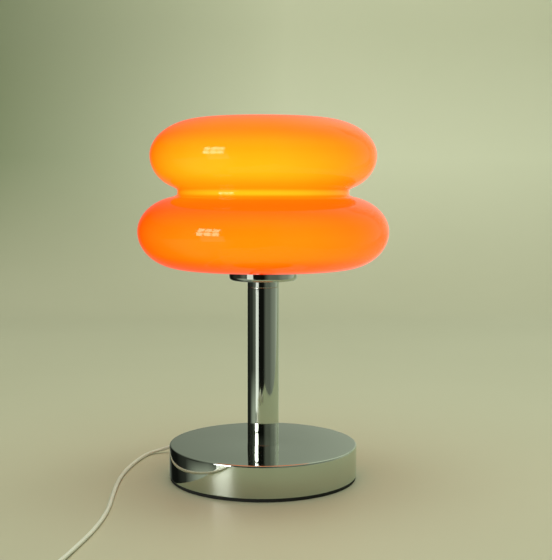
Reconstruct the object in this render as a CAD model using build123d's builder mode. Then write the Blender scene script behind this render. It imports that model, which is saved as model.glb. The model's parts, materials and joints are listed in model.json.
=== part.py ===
from build123d import *

import os
from math import acos, asin, cos, degrees, pi, radians, sin, sqrt, tan

# Table lamp with a two-lobed glass shade. Millimetres, +Z up, origin at the centre of the foot.

# ---- clearances and small common sizes ----
gap = 0.1  # static fit between pieces of one body
thread_gap = 0.05  # screws and rod in their holes
wire_radius = 0.7
wire_spread = 1.4  # each wire's distance from the axis inside the rod
wire_drop = 2.6  # how far the wires pass below the rod's end
cord_radius = 1.5

# ---- base ----
base_radius = 75.0
base_height = 24.8
base_wall = 1.5
base_edge_fillet = 1.5
foot_thickness = 2.7
foot_inset = 0.5
plate_thickness = 1.5
weight_height = 14.0
weight_side_gap = 2.0
boss_radius = 20.0
nut_well_radius = 14.0
nut_well_roof = 5.0  # metal left between the nut well and the cover
cord_axis_height = 9.2
cord_azimuth = 135.0
channel_width = 8.0
plate_screw_circle = 50.0
plate_screw_azimuths = (75.0, 195.0, 315.0)

# ---- threaded rod and its fasteners ----
rod_radius = 5.0
rod_bore = 3.5
flat_washer_radius = 10.0
flat_washer_thickness = 1.4
lock_washer_radius = 8.0
lock_washer_thickness = 1.8
nut_across_flats = 14.0
stem_nut_thickness = 4.5
gallery_nut_thickness = 4.0
rod_below_nut = 1.5

# ---- stem ----
stem_radius = 12.5
stem_wall = 1.2
stem_length = 126.0
collar_height = 5.2
bush_height = 6.0

# ---- gallery cup ----
cup_radius = 27.0
cup_wall = 2.0
cup_floor = 1.5
cup_height = 7.5
cup_edge_fillet = 1.0
gasket_thickness = 1.2
gasket_wall = 0.6
gasket_height = 4.0
neck_clearance = 0.3
set_screw_azimuths = (-51.0, 69.0, 189.0)
set_screw_radius = 1.5
set_screw_above_floor = 2.5
set_screw_socket_radius = 0.75
set_screw_socket_depth = 1.0

# ---- glass shade ----
glass_wall = 3.0
neck_wall = 2.6
neck_length = 6.7
lower_lobe_radius = 99.2
lower_lobe_rise = 29.3  # underside to the widest ring
lower_lobe_side = 36.0  # radial half axis below the widest ring
lower_lobe_shoulder = 38.0  # radial half axis above the widest ring
lower_lobe_top = 28.4
waist_radius = 68.8
waist_height = 6.2
upper_lobe_radius = 89.2
upper_lobe_rise = 27.1
upper_lobe_side = 31.0
upper_lobe_shoulder = 44.0
upper_lobe_top = 29.1

# ---- lampholder ----
holder_radius = 13.5
holder_wall = 2.0
holder_cap_height = 14.5
holder_cap_floor = 7.5
holder_above_nut = 0.5
sleeve_height = 28.0
core_thickness = 5.5
core_lift = 1.5
shell_bore = 7.05
shell_wall = 0.4
shell_height = 20.0
contact_thickness = 0.6
contact_length = 10.0
contact_width = 4.0
terminal_offset = 7.0
terminal_head_radius = 2.2
terminal_head_height = 1.5
terminal_shank_radius = 1.2
terminal_shank_length = 5.0

# ---- bulb ----
tip_radius = 2.3
tip_height = 1.2
insulator_height = 2.7
bulb_thread_radius = 6.9
bulb_core_radius = 6.2
bulb_thread_pitch = 2.82
bulb_thread_turns = 5
bulb_cap_top = 2.0
housing_bottom_radius = 7.4
housing_top_radius = 13.0
housing_height = 10.0
globe_radius = 20.0
globe_wall = 1.2
led_board_thickness = 1.2
led_count = 6
led_circle = 7.0
led_length = 3.5
led_width = 2.8
led_height = 0.7

# ---- screws ----
m3_radius = 1.5
m3_head_radius = 2.8
m3_head_height = 1.5
m3_length = 8.0

# ---- strain relief, clamp ----
bushing_length = 22.0
bushing_root_radius = 4.0
bushing_tip_radius = 2.2
bushing_flange_radius = 4.9
bushing_inset = 0.4  # the flange's flat face clears the curved wall
bushing_flange_thickness = 1.5
strap_length = 22.0
strap_width = 9.0
strap_thickness = 1.4
strap_distance = 42.0
strap_screw_offset = 7.5

# ---- in-line switch ----
switch_x = -126.5
switch_inlet_y = -230.0
switch_length = 44.0
switch_width = 17.0
switch_height = 11.0
switch_wall = 1.6
switch_corner = 4.0
switch_edge = 1.0
rocker_length = 14.0
rocker_width = 8.0
rocker_window_gap = 0.8
rocker_depth = 3.2
rocker_pin_radius = 1.0
rocker_pin_gap = 0.05
rocker_pin_reach = 1.6
rocker_pin_drop = 1.6  # pin axis below the top face
rocker_tilt = 7.0
switch_screw_offset = 15.0
switch_screw_side = 5.0
switch_screw_radius = 1.0
switch_screw_head = 1.8
switch_screw_head_height = 1.2
switch_screw_length = 7.0
switch_room_length = 22.0
switch_contact_offset = 8.0

# ---- coil of the put-away length ----
coil_x = -93.0
coil_y = -258.0
coil_inner_turn = 14.0
coil_columns = 3
coil_layers = 4
coil_lift = 1.0
tie_thickness = 0.9
tie_width = 8.0
tie_gap = 0.1
tie_sag = 0.9  # room inside the strap for the curve of the ring

# ---- plug ----
plug_x = -56.0
plug_y = -272.0
plug_relief_length = 12.0
plug_length = 26.0
plug_width = 16.0
plug_height = 8.0
plug_edge = 1.5
usb_width = 12.0
usb_height = 4.5
usb_wall = 0.3
usb_length = 18.7
tongue_width = 11.2
tongue_thickness = 1.8
pin_count = 4
pin_pitch = 2.2
pin_width = 1.0
pin_thickness = 0.2
pin_length = 9.0

# ---- heights worked out from the sizes above ----
plate_z = foot_thickness
weight_z = plate_z + plate_thickness
base_top = foot_thickness + base_height
cover_roof = base_top - base_wall
well_top = cover_roof - nut_well_roof
lock_z = well_top - flat_washer_thickness - lock_washer_thickness
nut_z = lock_z - stem_nut_thickness
rod_z = nut_z - rod_below_nut
collar_z = base_top + stem_length
cup_z = collar_z + collar_height
cup_inside_z = cup_z + cup_floor
cup_bore = cup_radius - cup_wall
gasket_bore = cup_bore - gasket_wall
neck_z = cup_inside_z + gasket_thickness
neck_radius = gasket_bore - neck_clearance
neck_bore = neck_radius - neck_wall
lobe_z = neck_z + neck_length
holder_z = cup_inside_z + gallery_nut_thickness + holder_above_nut
sleeve_z = holder_z + holder_cap_height
rod_top = holder_z + holder_cap_floor
core_z = sleeve_z + core_lift
shell_z = core_z + core_thickness
tip_z = shell_z + contact_thickness
insulator_z = tip_z + tip_height
bulb_thread_z = insulator_z + insulator_height
housing_z = bulb_thread_z + bulb_thread_turns * bulb_thread_pitch + bulb_cap_top
globe_z = housing_z + housing_height
globe_rim = housing_top_radius - globe_wall / 2
globe_inside = globe_radius - globe_wall
globe_drop = sqrt(globe_radius**2 - globe_rim**2)
globe_centre_z = globe_z + globe_drop
globe_inside_rim = sqrt(globe_inside**2 - globe_drop**2)
led_board_radius = globe_inside_rim - gap
coil_outer_turn = coil_inner_turn + (coil_columns - 1) * 2 * cord_radius
coil_height = coil_layers * 2 * cord_radius
switch_axis_z = switch_height / 2
switch_screw_points = [(switch_screw_side, switch_screw_offset), (-switch_screw_side, -switch_screw_offset)]
plug_axis_z = plug_height / 2


def around(azimuth, radius, height=0.0):
    """Point at an azimuth and a radius about the lamp's axis."""
    return (radius * cos(radians(azimuth)), radius * sin(radians(azimuth)), height)


def radial_plane(azimuth, radius, height):
    """Plane whose normal points straight out from the lamp's axis."""
    outward = around(azimuth, 1.0)
    return Plane(origin=around(azimuth, radius, height), x_dir=(-outward[1], outward[0], 0), z_dir=outward)


cord_out = Vector(*around(cord_azimuth, 1.0))
cord_side = Vector(*around(cord_azimuth + 90.0, 1.0))
cord_level = Vector(0, 0, cord_axis_height)
bushing_tip = base_radius + bushing_length
flange_distance = base_radius - base_wall - bushing_inset
cord_end_distance = nut_well_radius - 2.0
strap_centre = around(cord_azimuth, strap_distance)

# ======== base ========

with BuildPart() as foot_pad:
    with BuildSketch(Plane.XY):
        Circle(base_radius - foot_inset)
        for azimuth in plate_screw_azimuths:
            with Locations(around(azimuth, plate_screw_circle)):
                Circle(m3_head_radius + 3 * gap, mode=Mode.SUBTRACT)
    extrude(amount=foot_thickness)

with BuildPart() as base_cover:
    with BuildSketch(Plane.XY.offset(foot_thickness)):
        Circle(base_radius)
    extrude(amount=base_height)
    fillet(base_cover.edges().sort_by(Axis.Z)[-1], base_edge_fillet)
    with BuildSketch(Plane.XY.offset(foot_thickness)):
        Circle(base_radius - base_wall)
    extrude(amount=base_height - base_wall, mode=Mode.SUBTRACT)
    with BuildSketch(Plane.XY.offset(cover_roof)):
        Circle(rod_radius + thread_gap)
    extrude(amount=base_wall, mode=Mode.SUBTRACT)
    with BuildSketch(radial_plane(cord_azimuth, base_radius - 3 * base_wall, cord_axis_height)):
        Circle(bushing_root_radius)
    extrude(amount=4 * base_wall, mode=Mode.SUBTRACT)

with BuildPart() as bottom_plate:
    with BuildSketch(Plane.XY.offset(plate_z)):
        Circle(base_radius - base_wall - gap)
        for azimuth in plate_screw_azimuths:
            with Locations(around(azimuth, plate_screw_circle)):
                Circle(m3_radius + thread_gap, mode=Mode.SUBTRACT)
    extrude(amount=plate_thickness)

channel_height = cord_axis_height + cord_radius + gap - weight_z
strap_z = cord_axis_height - cord_radius - strap_thickness

with BuildPart() as base_weight:
    with BuildSketch(Plane.XY.offset(weight_z)):
        Circle(base_radius - base_wall - weight_side_gap)
    extrude(amount=weight_height)
    with BuildSketch(Plane.XY.offset(weight_z + weight_height)):
        Circle(boss_radius)
    extrude(amount=cover_roof - weight_z - weight_height)
    with BuildSketch(Plane.XY.offset(weight_z)):
        Circle(nut_well_radius)
    extrude(amount=well_top - weight_z, mode=Mode.SUBTRACT)
    with BuildSketch(Plane.XY.offset(well_top)):
        Circle(rod_radius + thread_gap)
    extrude(amount=nut_well_roof, mode=Mode.SUBTRACT)
    with BuildSketch(Plane.XY.offset(weight_z)):
        with Locations(Location(around(cord_azimuth, base_radius / 2), cord_azimuth)):
            Rectangle(base_radius, channel_width)
    extrude(amount=channel_height, mode=Mode.SUBTRACT)
    with BuildSketch(Plane.XY.offset(weight_z)):
        with Locations(Location(around(cord_azimuth, base_radius - base_wall), cord_azimuth)):
            Rectangle(4 * bushing_flange_radius, 2 * bushing_flange_radius + 2 * gap)
    extrude(amount=cord_axis_height + bushing_flange_radius + gap - weight_z, mode=Mode.SUBTRACT)
    with BuildSketch(Plane.XY.offset(weight_z)):
        with Locations(Location(strap_centre, cord_azimuth)):
            Rectangle(strap_width + 2 * gap, strap_length + 2 * gap)
    extrude(amount=strap_z + strap_thickness - weight_z, mode=Mode.SUBTRACT)
    with BuildSketch(Plane.XY.offset(strap_z + strap_thickness)):
        with Locations(Location(strap_centre, cord_azimuth)):
            with Locations((0, strap_screw_offset), (0, -strap_screw_offset)):
                Circle(m3_radius + thread_gap)
    extrude(amount=m3_length, mode=Mode.SUBTRACT)
    with BuildSketch(Plane.XY.offset(weight_z)):
        for azimuth in plate_screw_azimuths:
            with Locations(around(azimuth, plate_screw_circle)):
                Circle(m3_radius + thread_gap)
    extrude(amount=m3_length, mode=Mode.SUBTRACT)

with BuildPart() as plate_screws:
    with BuildSketch(Plane.XY.offset(plate_z - m3_head_height)):
        for azimuth in plate_screw_azimuths:
            with Locations(around(azimuth, plate_screw_circle)):
                Circle(m3_head_radius)
    extrude(amount=m3_head_height)
    with BuildSketch(Plane.XY.offset(plate_z)):
        for azimuth in plate_screw_azimuths:
            with Locations(around(azimuth, plate_screw_circle)):
                Circle(m3_radius)
    extrude(amount=m3_length)

with BuildPart() as clamp_strap:
    with BuildSketch(Plane.XY.offset(strap_z)):
        with Locations(Location(strap_centre, cord_azimuth)):
            Rectangle(strap_width, strap_length)
            with Locations((0, strap_screw_offset), (0, -strap_screw_offset)):
                Circle(m3_radius + thread_gap, mode=Mode.SUBTRACT)
    extrude(amount=strap_thickness)

with BuildPart() as clamp_screws:
    with BuildSketch(Plane.XY.offset(strap_z - m3_head_height)):
        with Locations(Location(strap_centre, cord_azimuth)):
            with Locations((0, strap_screw_offset), (0, -strap_screw_offset)):
                Circle(m3_head_radius)
    extrude(amount=m3_head_height)
    with BuildSketch(Plane.XY.offset(strap_z)):
        with Locations(Location(strap_centre, cord_azimuth)):
            with Locations((0, strap_screw_offset), (0, -strap_screw_offset)):
                Circle(m3_radius)
    extrude(amount=m3_length)

with BuildPart() as cord_bushing:
    with BuildSketch(radial_plane(cord_azimuth, flange_distance, cord_axis_height)):
        Circle(bushing_flange_radius)
    extrude(amount=-bushing_flange_thickness)
    with BuildSketch(radial_plane(cord_azimuth, flange_distance, cord_axis_height)):
        Circle(bushing_root_radius)
    with BuildSketch(radial_plane(cord_azimuth, bushing_tip, cord_axis_height)):
        Circle(bushing_tip_radius)
    loft()
    with BuildSketch(radial_plane(cord_azimuth, bushing_tip, cord_axis_height)):
        Circle(cord_radius)
    extrude(amount=-bushing_length - 4 * base_wall, mode=Mode.SUBTRACT)

with BuildPart() as cord_inner:
    with BuildSketch(radial_plane(cord_azimuth, cord_end_distance, cord_axis_height)):
        Circle(cord_radius)
    extrude(amount=bushing_tip - cord_end_distance)

# ======== threaded rod and fasteners ========


def washer(outer, bore, thickness, height):
    """Flat ring on the lamp's axis."""
    with BuildPart() as ring:
        with BuildSketch(Plane.XY.offset(height)):
            Circle(outer)
            Circle(bore, mode=Mode.SUBTRACT)
        extrude(amount=thickness)
    return ring


def hex_nut(thickness, height):
    """Thin hexagon nut on the lamp's axis, with its corners turned off."""
    with BuildPart() as nut:
        with BuildSketch(Plane.XY.offset(height)):
            RegularPolygon(nut_across_flats / 2, 6, major_radius=False)
            Circle(rod_radius + thread_gap, mode=Mode.SUBTRACT)
        extrude(amount=thickness)
    return nut


threaded_rod = washer(rod_radius, rod_bore, rod_top - rod_z, rod_z)
flat_washer_z = well_top - flat_washer_thickness
flat_washer = washer(flat_washer_radius, rod_radius + gap, flat_washer_thickness, flat_washer_z)
lock_washer = washer(lock_washer_radius, rod_radius + gap, lock_washer_thickness, lock_z)
stem_nut = hex_nut(stem_nut_thickness, nut_z)
gallery_nut = hex_nut(gallery_nut_thickness, cup_inside_z)

# ======== stem ========

stem_tube = washer(stem_radius, stem_radius - stem_wall, stem_length, base_top)
lower_bush = washer(stem_radius - stem_wall - gap, rod_radius + gap, bush_height, base_top)

with BuildPart() as stem_collar:
    with BuildSketch(Plane.XY.offset(collar_z)):
        Circle(stem_radius)
    extrude(amount=collar_height)
    with BuildSketch(Plane.XY.offset(collar_z)):
        Circle(stem_radius - stem_wall - gap)
    extrude(amount=-bush_height)
    with BuildSketch(Plane.XY.offset(collar_z - bush_height)):
        Circle(rod_radius + gap)
    extrude(amount=collar_height + bush_height, mode=Mode.SUBTRACT)

# ======== gallery cup ========

with BuildPart() as gallery_cup:
    with BuildSketch(Plane.XY.offset(cup_z)):
        Circle(cup_radius)
    extrude(amount=cup_height)
    fillet(gallery_cup.edges().sort_by(Axis.Z)[0], cup_edge_fillet)
    with BuildSketch(Plane.XY.offset(cup_inside_z)):
        Circle(cup_bore)
    extrude(amount=cup_height - cup_floor, mode=Mode.SUBTRACT)
    with BuildSketch(Plane.XY.offset(cup_z)):
        Circle(rod_radius + thread_gap)
    extrude(amount=cup_floor, mode=Mode.SUBTRACT)
    for azimuth in set_screw_azimuths:
        with BuildSketch(radial_plane(azimuth, cup_bore - gap, cup_inside_z + set_screw_above_floor)):
            Circle(set_screw_radius + thread_gap)
        extrude(amount=2 * cup_wall, mode=Mode.SUBTRACT)

with BuildPart() as shade_gasket:
    with BuildSketch(Plane.XY.offset(cup_inside_z)):
        Circle(cup_bore)
        Circle(neck_bore, mode=Mode.SUBTRACT)
    extrude(amount=gasket_thickness)
    with BuildSketch(Plane.XY.offset(cup_inside_z)):
        Circle(cup_bore)
        Circle(gasket_bore, mode=Mode.SUBTRACT)
    extrude(amount=gasket_height)

with BuildPart() as set_screws:
    for azimuth in set_screw_azimuths:
        with BuildSketch(radial_plane(azimuth, cup_bore, cup_inside_z + set_screw_above_floor)):
            Circle(set_screw_radius)
        extrude(amount=cup_wall - gap)
    for azimuth in set_screw_azimuths:
        with BuildSketch(radial_plane(azimuth, cup_radius, cup_inside_z + set_screw_above_floor)):
            RegularPolygon(set_screw_socket_radius, 6, major_radius=False)
        extrude(amount=-set_screw_socket_depth, mode=Mode.SUBTRACT)

# ======== glass shade ========


def lobe_arc(centre, across, up, start, end):
    """Part of an ellipse between two angles of its own parameter."""
    EllipticalCenterArc(centre, across, up, start, arc_size=end - start)


def lobe_outline(inset, neck):
    """Right half outline of the shade, moved in by the wall for its inside.

    It runs from the neck's rim over both lobes to the axis at the top. Each lobe is a quarter
    ellipse below its widest ring and another above it, and a straight band joins the lobes.
    """
    widest_low = lobe_z + lower_lobe_rise
    waist = waist_radius - inset
    low_centre = lower_lobe_radius - lower_lobe_side
    low_shoulder_centre = lower_lobe_radius - lower_lobe_shoulder
    low_a = lower_lobe_shoulder - inset
    low_b = lower_lobe_top - inset
    low_end = degrees(acos((waist - low_shoulder_centre) / low_a))
    band_top = (
        widest_low
        + lower_lobe_top * sin(acos((waist_radius - low_shoulder_centre) / lower_lobe_shoulder))
        + waist_height
    )
    up_centre = upper_lobe_radius - upper_lobe_side
    up_shoulder_centre = upper_lobe_radius - upper_lobe_shoulder
    widest_up = band_top + upper_lobe_rise * sin(acos((waist_radius - up_centre) / upper_lobe_side))
    up_a = upper_lobe_side - inset
    up_b = upper_lobe_rise - inset
    up_start = degrees(acos((waist - up_centre) / up_a))
    Line((neck, neck_z), (neck, lobe_z + inset))
    Line((neck, lobe_z + inset), (low_centre, lobe_z + inset))
    lobe_arc((low_centre, widest_low), lower_lobe_side - inset, lower_lobe_rise - inset, -90, 0)
    lobe_arc((low_shoulder_centre, widest_low), low_a, low_b, 0, low_end)
    low_join = (waist, widest_low + low_b * sin(radians(low_end)))
    up_join = (waist, widest_up - up_b * sin(radians(up_start)))
    Line(low_join, up_join)
    lobe_arc((up_centre, widest_up), up_a, up_b, -up_start, 0)
    lobe_arc((up_shoulder_centre, widest_up), upper_lobe_shoulder - inset, upper_lobe_top - inset, 0, 90)
    top = widest_up + upper_lobe_top - inset
    Line((up_shoulder_centre, top), (0, top))
    return top


with BuildPart() as glass_shade:
    with BuildSketch(Plane.XZ):
        with BuildLine():
            outer_top = lobe_outline(0.0, neck_radius)
            inner_top = lobe_outline(glass_wall, neck_bore)
            Line((0, inner_top), (0, outer_top))
            Line((neck_bore, neck_z), (neck_radius, neck_z))
        make_face()
    revolve(axis=Axis.Z)

# ======== lampholder ========

with BuildPart() as holder_cap:
    with BuildSketch(Plane.XY.offset(holder_z)):
        Circle(holder_radius)
    extrude(amount=holder_cap_height)
    fillet(holder_cap.edges().sort_by(Axis.Z)[0], holder_wall)
    with BuildSketch(Plane.XY.offset(rod_top)):
        Circle(holder_radius - holder_wall)
    extrude(amount=holder_cap_height - holder_cap_floor, mode=Mode.SUBTRACT)
    with BuildSketch(Plane.XY.offset(holder_z)):
        Circle(rod_radius + thread_gap)
    extrude(amount=holder_cap_floor, mode=Mode.SUBTRACT)

holder_sleeve = washer(holder_radius, holder_radius - holder_wall, sleeve_height, sleeve_z)

terminal_points = [cord_side * (side * terminal_offset) for side in (1, -1)]

with BuildPart() as holder_core:
    with BuildSketch(Plane.XY.offset(core_z)):
        Circle(holder_radius - holder_wall - gap)
        for point in terminal_points:
            with Locations(point):
                Circle(terminal_shank_radius + thread_gap, mode=Mode.SUBTRACT)
    extrude(amount=core_thickness)

with BuildPart() as terminal_screws:
    with BuildSketch(Plane.XY.offset(core_z - terminal_head_height)):
        for point in terminal_points:
            with Locations(point):
                Circle(terminal_head_radius)
    extrude(amount=terminal_head_height)
    with BuildSketch(Plane.XY.offset(core_z)):
        for point in terminal_points:
            with Locations(point):
                Circle(terminal_shank_radius)
    extrude(amount=terminal_shank_length)

screw_shell = washer(shell_bore + shell_wall, shell_bore, shell_height, shell_z)

with BuildPart() as centre_contact:
    with BuildSketch(Plane.XY.offset(shell_z)):
        with Locations(Location((0, 0, 0), cord_azimuth)):
            SlotOverall(contact_length, contact_width)
    extrude(amount=contact_thickness)

# ======== wires ========


def lamp_wire(side):
    """Insulated wire from the cord's end, up the hollow rod, to one terminal."""
    low = Vector(0, 0, rod_z - wire_drop)
    high = Vector(0, 0, core_z - terminal_head_height / 2)
    across = cord_side * (side * wire_spread)
    route = [
        cord_out * cord_end_distance + cord_side * (side * (cord_radius - wire_radius)) + cord_level,
        cord_out * (cord_end_distance / 2) + across + low,
        across + low,
        across + high,
        cord_side * (side * (terminal_offset - terminal_head_radius)) + high,
    ]
    with BuildPart() as wire:
        with BuildLine() as path:
            FilletPolyline(*route, radius=2 * wire_radius)
        with BuildSketch(Plane(origin=path.line @ 0, z_dir=path.line % 0)):
            Circle(wire_radius)
        sweep(path=path.line)
    return wire


wire_positive = lamp_wire(1)
wire_negative = lamp_wire(-1)

# ======== bulb ========

with BuildPart() as bulb_tip:
    with BuildSketch(Plane.XY.offset(tip_z)):
        Circle(tip_radius)
    extrude(amount=tip_height)
    fillet(bulb_tip.edges().sort_by(Axis.Z)[0], tip_height / 2)

with BuildPart() as bulb_insulator:
    with BuildSketch(Plane.XY.offset(insulator_z)):
        Circle(tip_radius + 1)
    with BuildSketch(Plane.XY.offset(bulb_thread_z)):
        Circle(bulb_core_radius - gap)
    loft()

with BuildPart() as bulb_cap:
    with BuildSketch(Plane.XZ):
        with BuildLine():
            start = (0, bulb_thread_z)
            corner = (bulb_core_radius, bulb_thread_z)
            Line(start, corner)
            for turn in range(bulb_thread_turns):
                foot = bulb_thread_z + turn * bulb_thread_pitch
                crest = (bulb_thread_radius, foot + bulb_thread_pitch / 2)
                head = (bulb_core_radius, foot + bulb_thread_pitch)
                ThreePointArc((bulb_core_radius, foot), crest, head)
            Line((bulb_core_radius, housing_z - bulb_cap_top), (bulb_core_radius, housing_z))
            Line((bulb_core_radius, housing_z), (0, housing_z))
            Line((0, housing_z), start)
        make_face()
    revolve(axis=Axis.Z)

with BuildPart() as bulb_housing:
    with BuildSketch(Plane.XY.offset(housing_z)):
        Circle(housing_bottom_radius)
    with BuildSketch(Plane.XY.offset(globe_z)):
        Circle(housing_top_radius)
    loft()

with BuildPart() as led_board:
    with BuildSketch(Plane.XY.offset(globe_z)):
        Circle(led_board_radius)
    extrude(amount=led_board_thickness)

with BuildPart() as led_chips:
    with BuildSketch(Plane.XY.offset(globe_z + led_board_thickness)):
        with PolarLocations(led_circle, led_count):
            Rectangle(led_width, led_length)
    extrude(amount=led_height)

outer_start = -degrees(asin(globe_drop / globe_radius))
inner_start = -degrees(asin(globe_drop / globe_inside))

with BuildPart() as bulb_globe:
    with BuildSketch(Plane.XZ):
        with BuildLine():
            CenterArc((0, globe_centre_z), globe_radius, outer_start, 90 - outer_start)
            CenterArc((0, globe_centre_z), globe_inside, inner_start, 90 - inner_start)
            Line((globe_inside_rim, globe_z), (globe_rim, globe_z))
            Line((0, globe_centre_z + globe_inside), (0, globe_centre_z + globe_radius))
        make_face()
    revolve(axis=Axis.Z)

# ======== cord ========

# The free cord from the strain relief's tip, over the table, to the switch.
cord_route = [
    (-68.6, 68.6, 9.2),
    (-73.5, 73.5, 7.9),
    (-80.2, 76.2, 5.6),
    (-88.2, 75.9, 3.2),
    (-95.9, 71.6, 1.9),
    (-101.4, 63.4, 1.5),
    (-104.9, 51.0, 1.5),
    (-108.7, 34.0, 1.5),
    (-112.5, 10.0, 1.5),
    (-114.4, -22.0, 1.5),
    (-112.9, -61.0, 1.5),
    (-110.8, -100.0, 1.5),
    (-113.5, -140.0, 1.5),
    (-120.0, -177.0, 1.5),
    (-125.5, -207.0, 2.1),
    (switch_x, switch_inlet_y, switch_axis_z),
]

# From the switch round into the coil's outer turn.
link_route = [
    (switch_x, switch_inlet_y - switch_length, switch_axis_z),
    (-125.9, -281.6, 4.2),
    (-121.4, -289.8, 3.0),
    (-113.2, -295.2, 2.5),
    (-102.9, -295.8, 2.5),
    (-92.6, -292.2, 2.5),
    (-84.6, -281.8, 2.5),
    (-78.5, -271.8, 2.5),
]

# From the coil's top turn down to the plug.
tail_route = [
    (-98.0, -275.2, 11.5),
    (-88.0, -275.5, 10.9),
    (-78.0, -274.8, 7.8),
    (-67.0, -272.6, 4.7),
    (plug_x, plug_y, plug_axis_z),
]


def run_lengths(route):
    """Distances between neighbouring points of a route."""
    points = [Vector(*point) for point in route]
    return [(after - before).length for before, after in zip(points, points[1:])]


def corner_radii(route):
    """Arc radius at each corner: as large as the two runs beside it allow."""
    points = [Vector(*point) for point in route]
    runs = run_lengths(route)
    radii = []
    for number in range(1, len(points) - 1):
        turn = (points[number] - points[number - 1]).get_angle(points[number + 1] - points[number])
        shorter = min(runs[number - 1], runs[number])
        radii.append(0.45 * shorter / tan(radians(turn) / 2))
    return radii


def cord_tube(name, route):
    """Round tube along straight runs joined by tangent arcs, with its volume compared."""
    radii = corner_radii(route)
    with BuildPart() as tube:
        with BuildLine() as path:
            FilletPolyline(*route, radius=radii)
        with BuildSketch(Plane(origin=path.line @ 0, z_dir=path.line % 0)):
            Circle(cord_radius)
        sweep(path=path.line)
    length = path.wire().length
    share = tube.part.volume / (pi * cord_radius**2 * length)
    print(name, "runs", [round(run, 1) for run in run_lengths(route)])
    print(name, "radii", [round(radius, 1) for radius in radii])
    print(name, "length", round(length, 1), "volume share", round(share, 4))
    return tube


cord = cord_tube("cord", cord_route)
cord_link = cord_tube("cord_link", link_route)
cord_tail = cord_tube("cord_tail", tail_route)

coil_origin = Plane(origin=(coil_x, coil_y, 0))
coil_low = coil_inner_turn - cord_radius
coil_high = coil_outer_turn + cord_radius

with BuildPart() as cord_coil:
    with BuildSketch(coil_origin.offset(coil_lift)):
        Circle(coil_high)
        Circle(coil_low, mode=Mode.SUBTRACT)
    extrude(amount=coil_height)
    fillet(cord_coil.edges().filter_by(GeomType.CIRCLE), cord_radius)

coil_turns = coil_columns * coil_layers
print("coil turns", coil_turns, "length", round(coil_turns * pi * (coil_inner_turn + coil_outer_turn), 1))

tie_low = coil_low - tie_sag
tie_high = coil_high + tie_gap

with BuildPart() as coil_tie:
    with BuildSketch(Plane(origin=(coil_x, coil_y - tie_width / 2, 0), x_dir=(1, 0, 0), z_dir=(0, 1, 0))):
        with Locations(((tie_low + tie_high) / 2, -(coil_lift + coil_height / 2))):
            Rectangle(
                tie_high - tie_low + 2 * tie_thickness,
                coil_height + 2 * tie_gap + 2 * tie_thickness,
            )
            Rectangle(tie_high - tie_low, coil_height + 2 * tie_gap, mode=Mode.SUBTRACT)
    extrude(amount=tie_width)

# ======== in-line switch ========

switch_centre_y = switch_inlet_y - switch_length / 2
switch_flat = Plane(origin=(switch_x, switch_centre_y, 0))
rocker_window_length = rocker_length + 2 * rocker_window_gap
rocker_window_width = rocker_width + 2 * rocker_window_gap
rocker_pin_z = switch_height - rocker_pin_drop
rocker_bearing = Plane(origin=(switch_x, switch_centre_y, rocker_pin_z), x_dir=(0, 1, 0), z_dir=(1, 0, 0))


def switch_half(low, height):
    """Outer block of one half of the switch, with rounded corners in plan."""
    with BuildSketch(switch_flat.offset(low)) as outline:
        RectangleRounded(switch_width, switch_length, switch_corner)
    extrude(outline.sketch, amount=height)


def switch_hollow(low, height):
    """Room inside one half of the switch."""
    with BuildSketch(switch_flat.offset(low)) as room:
        Rectangle(rocker_window_width, switch_room_length)
    extrude(room.sketch, amount=height, mode=Mode.SUBTRACT)


def cord_grooves():
    """Round channels through both end walls for the cord."""
    inlet = Plane(origin=(switch_x, switch_inlet_y, switch_axis_z), x_dir=(1, 0, 0), z_dir=(0, 1, 0))
    with BuildSketch(inlet) as groove:
        Circle(cord_radius)
    extrude(groove.sketch, amount=-switch_length, mode=Mode.SUBTRACT)


def switch_screw_holes(radius, low, height):
    """Two holes on the switch's long axis, beside the cord."""
    with BuildSketch(switch_flat.offset(low)) as holes:
        with Locations(*switch_screw_points):
            Circle(radius)
    extrude(holes.sketch, amount=height, mode=Mode.SUBTRACT)


with BuildPart() as switch_lower_shell:
    switch_half(0.0, switch_height / 2)
    fillet(switch_lower_shell.faces().sort_by(Axis.Z)[0].edges(), switch_edge)
    switch_hollow(switch_wall, switch_height / 2 - switch_wall)
    cord_grooves()
    switch_screw_holes(switch_screw_radius + thread_gap, 0.0, switch_height)
    switch_screw_holes(switch_screw_head + gap, 0.0, switch_screw_head_height + gap)

with BuildPart() as switch_upper_shell:
    switch_half(switch_height / 2, switch_height / 2)
    fillet(switch_upper_shell.faces().sort_by(Axis.Z)[-1].edges(), switch_edge)
    switch_hollow(switch_height / 2, switch_height / 2 - switch_wall)
    with BuildSketch(switch_flat.offset(switch_height / 2)):
        Rectangle(rocker_window_width, rocker_window_length)
    extrude(amount=switch_height, mode=Mode.SUBTRACT)
    cord_grooves()
    switch_screw_holes(
        switch_screw_radius + thread_gap,
        switch_height / 2,
        switch_screw_head_height + switch_screw_length + gap - switch_height / 2,
    )
    with BuildSketch(rocker_bearing):
        Circle(rocker_pin_radius + rocker_pin_gap)
    extrude(amount=rocker_window_width / 2 + rocker_pin_reach, both=True, mode=Mode.SUBTRACT)

with BuildPart() as switch_screws:
    with BuildSketch(switch_flat):
        with Locations(*switch_screw_points):
            Circle(switch_screw_head)
    extrude(amount=switch_screw_head_height)
    with BuildSketch(switch_flat.offset(switch_screw_head_height)):
        with Locations(*switch_screw_points):
            Circle(switch_screw_radius)
    extrude(amount=switch_screw_length)

with BuildPart() as switch_contacts:
    with BuildSketch(switch_flat.offset(switch_wall)):
        with Locations((0, switch_contact_offset), (0, -switch_contact_offset)):
            Rectangle(contact_width, contact_width)
    extrude(amount=contact_thickness)

rocker_plane = Plane(
    origin=(switch_x, switch_centre_y, rocker_pin_z),
    x_dir=(0, cos(radians(rocker_tilt)), sin(radians(rocker_tilt))),
    z_dir=(1, 0, 0),
)

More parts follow.
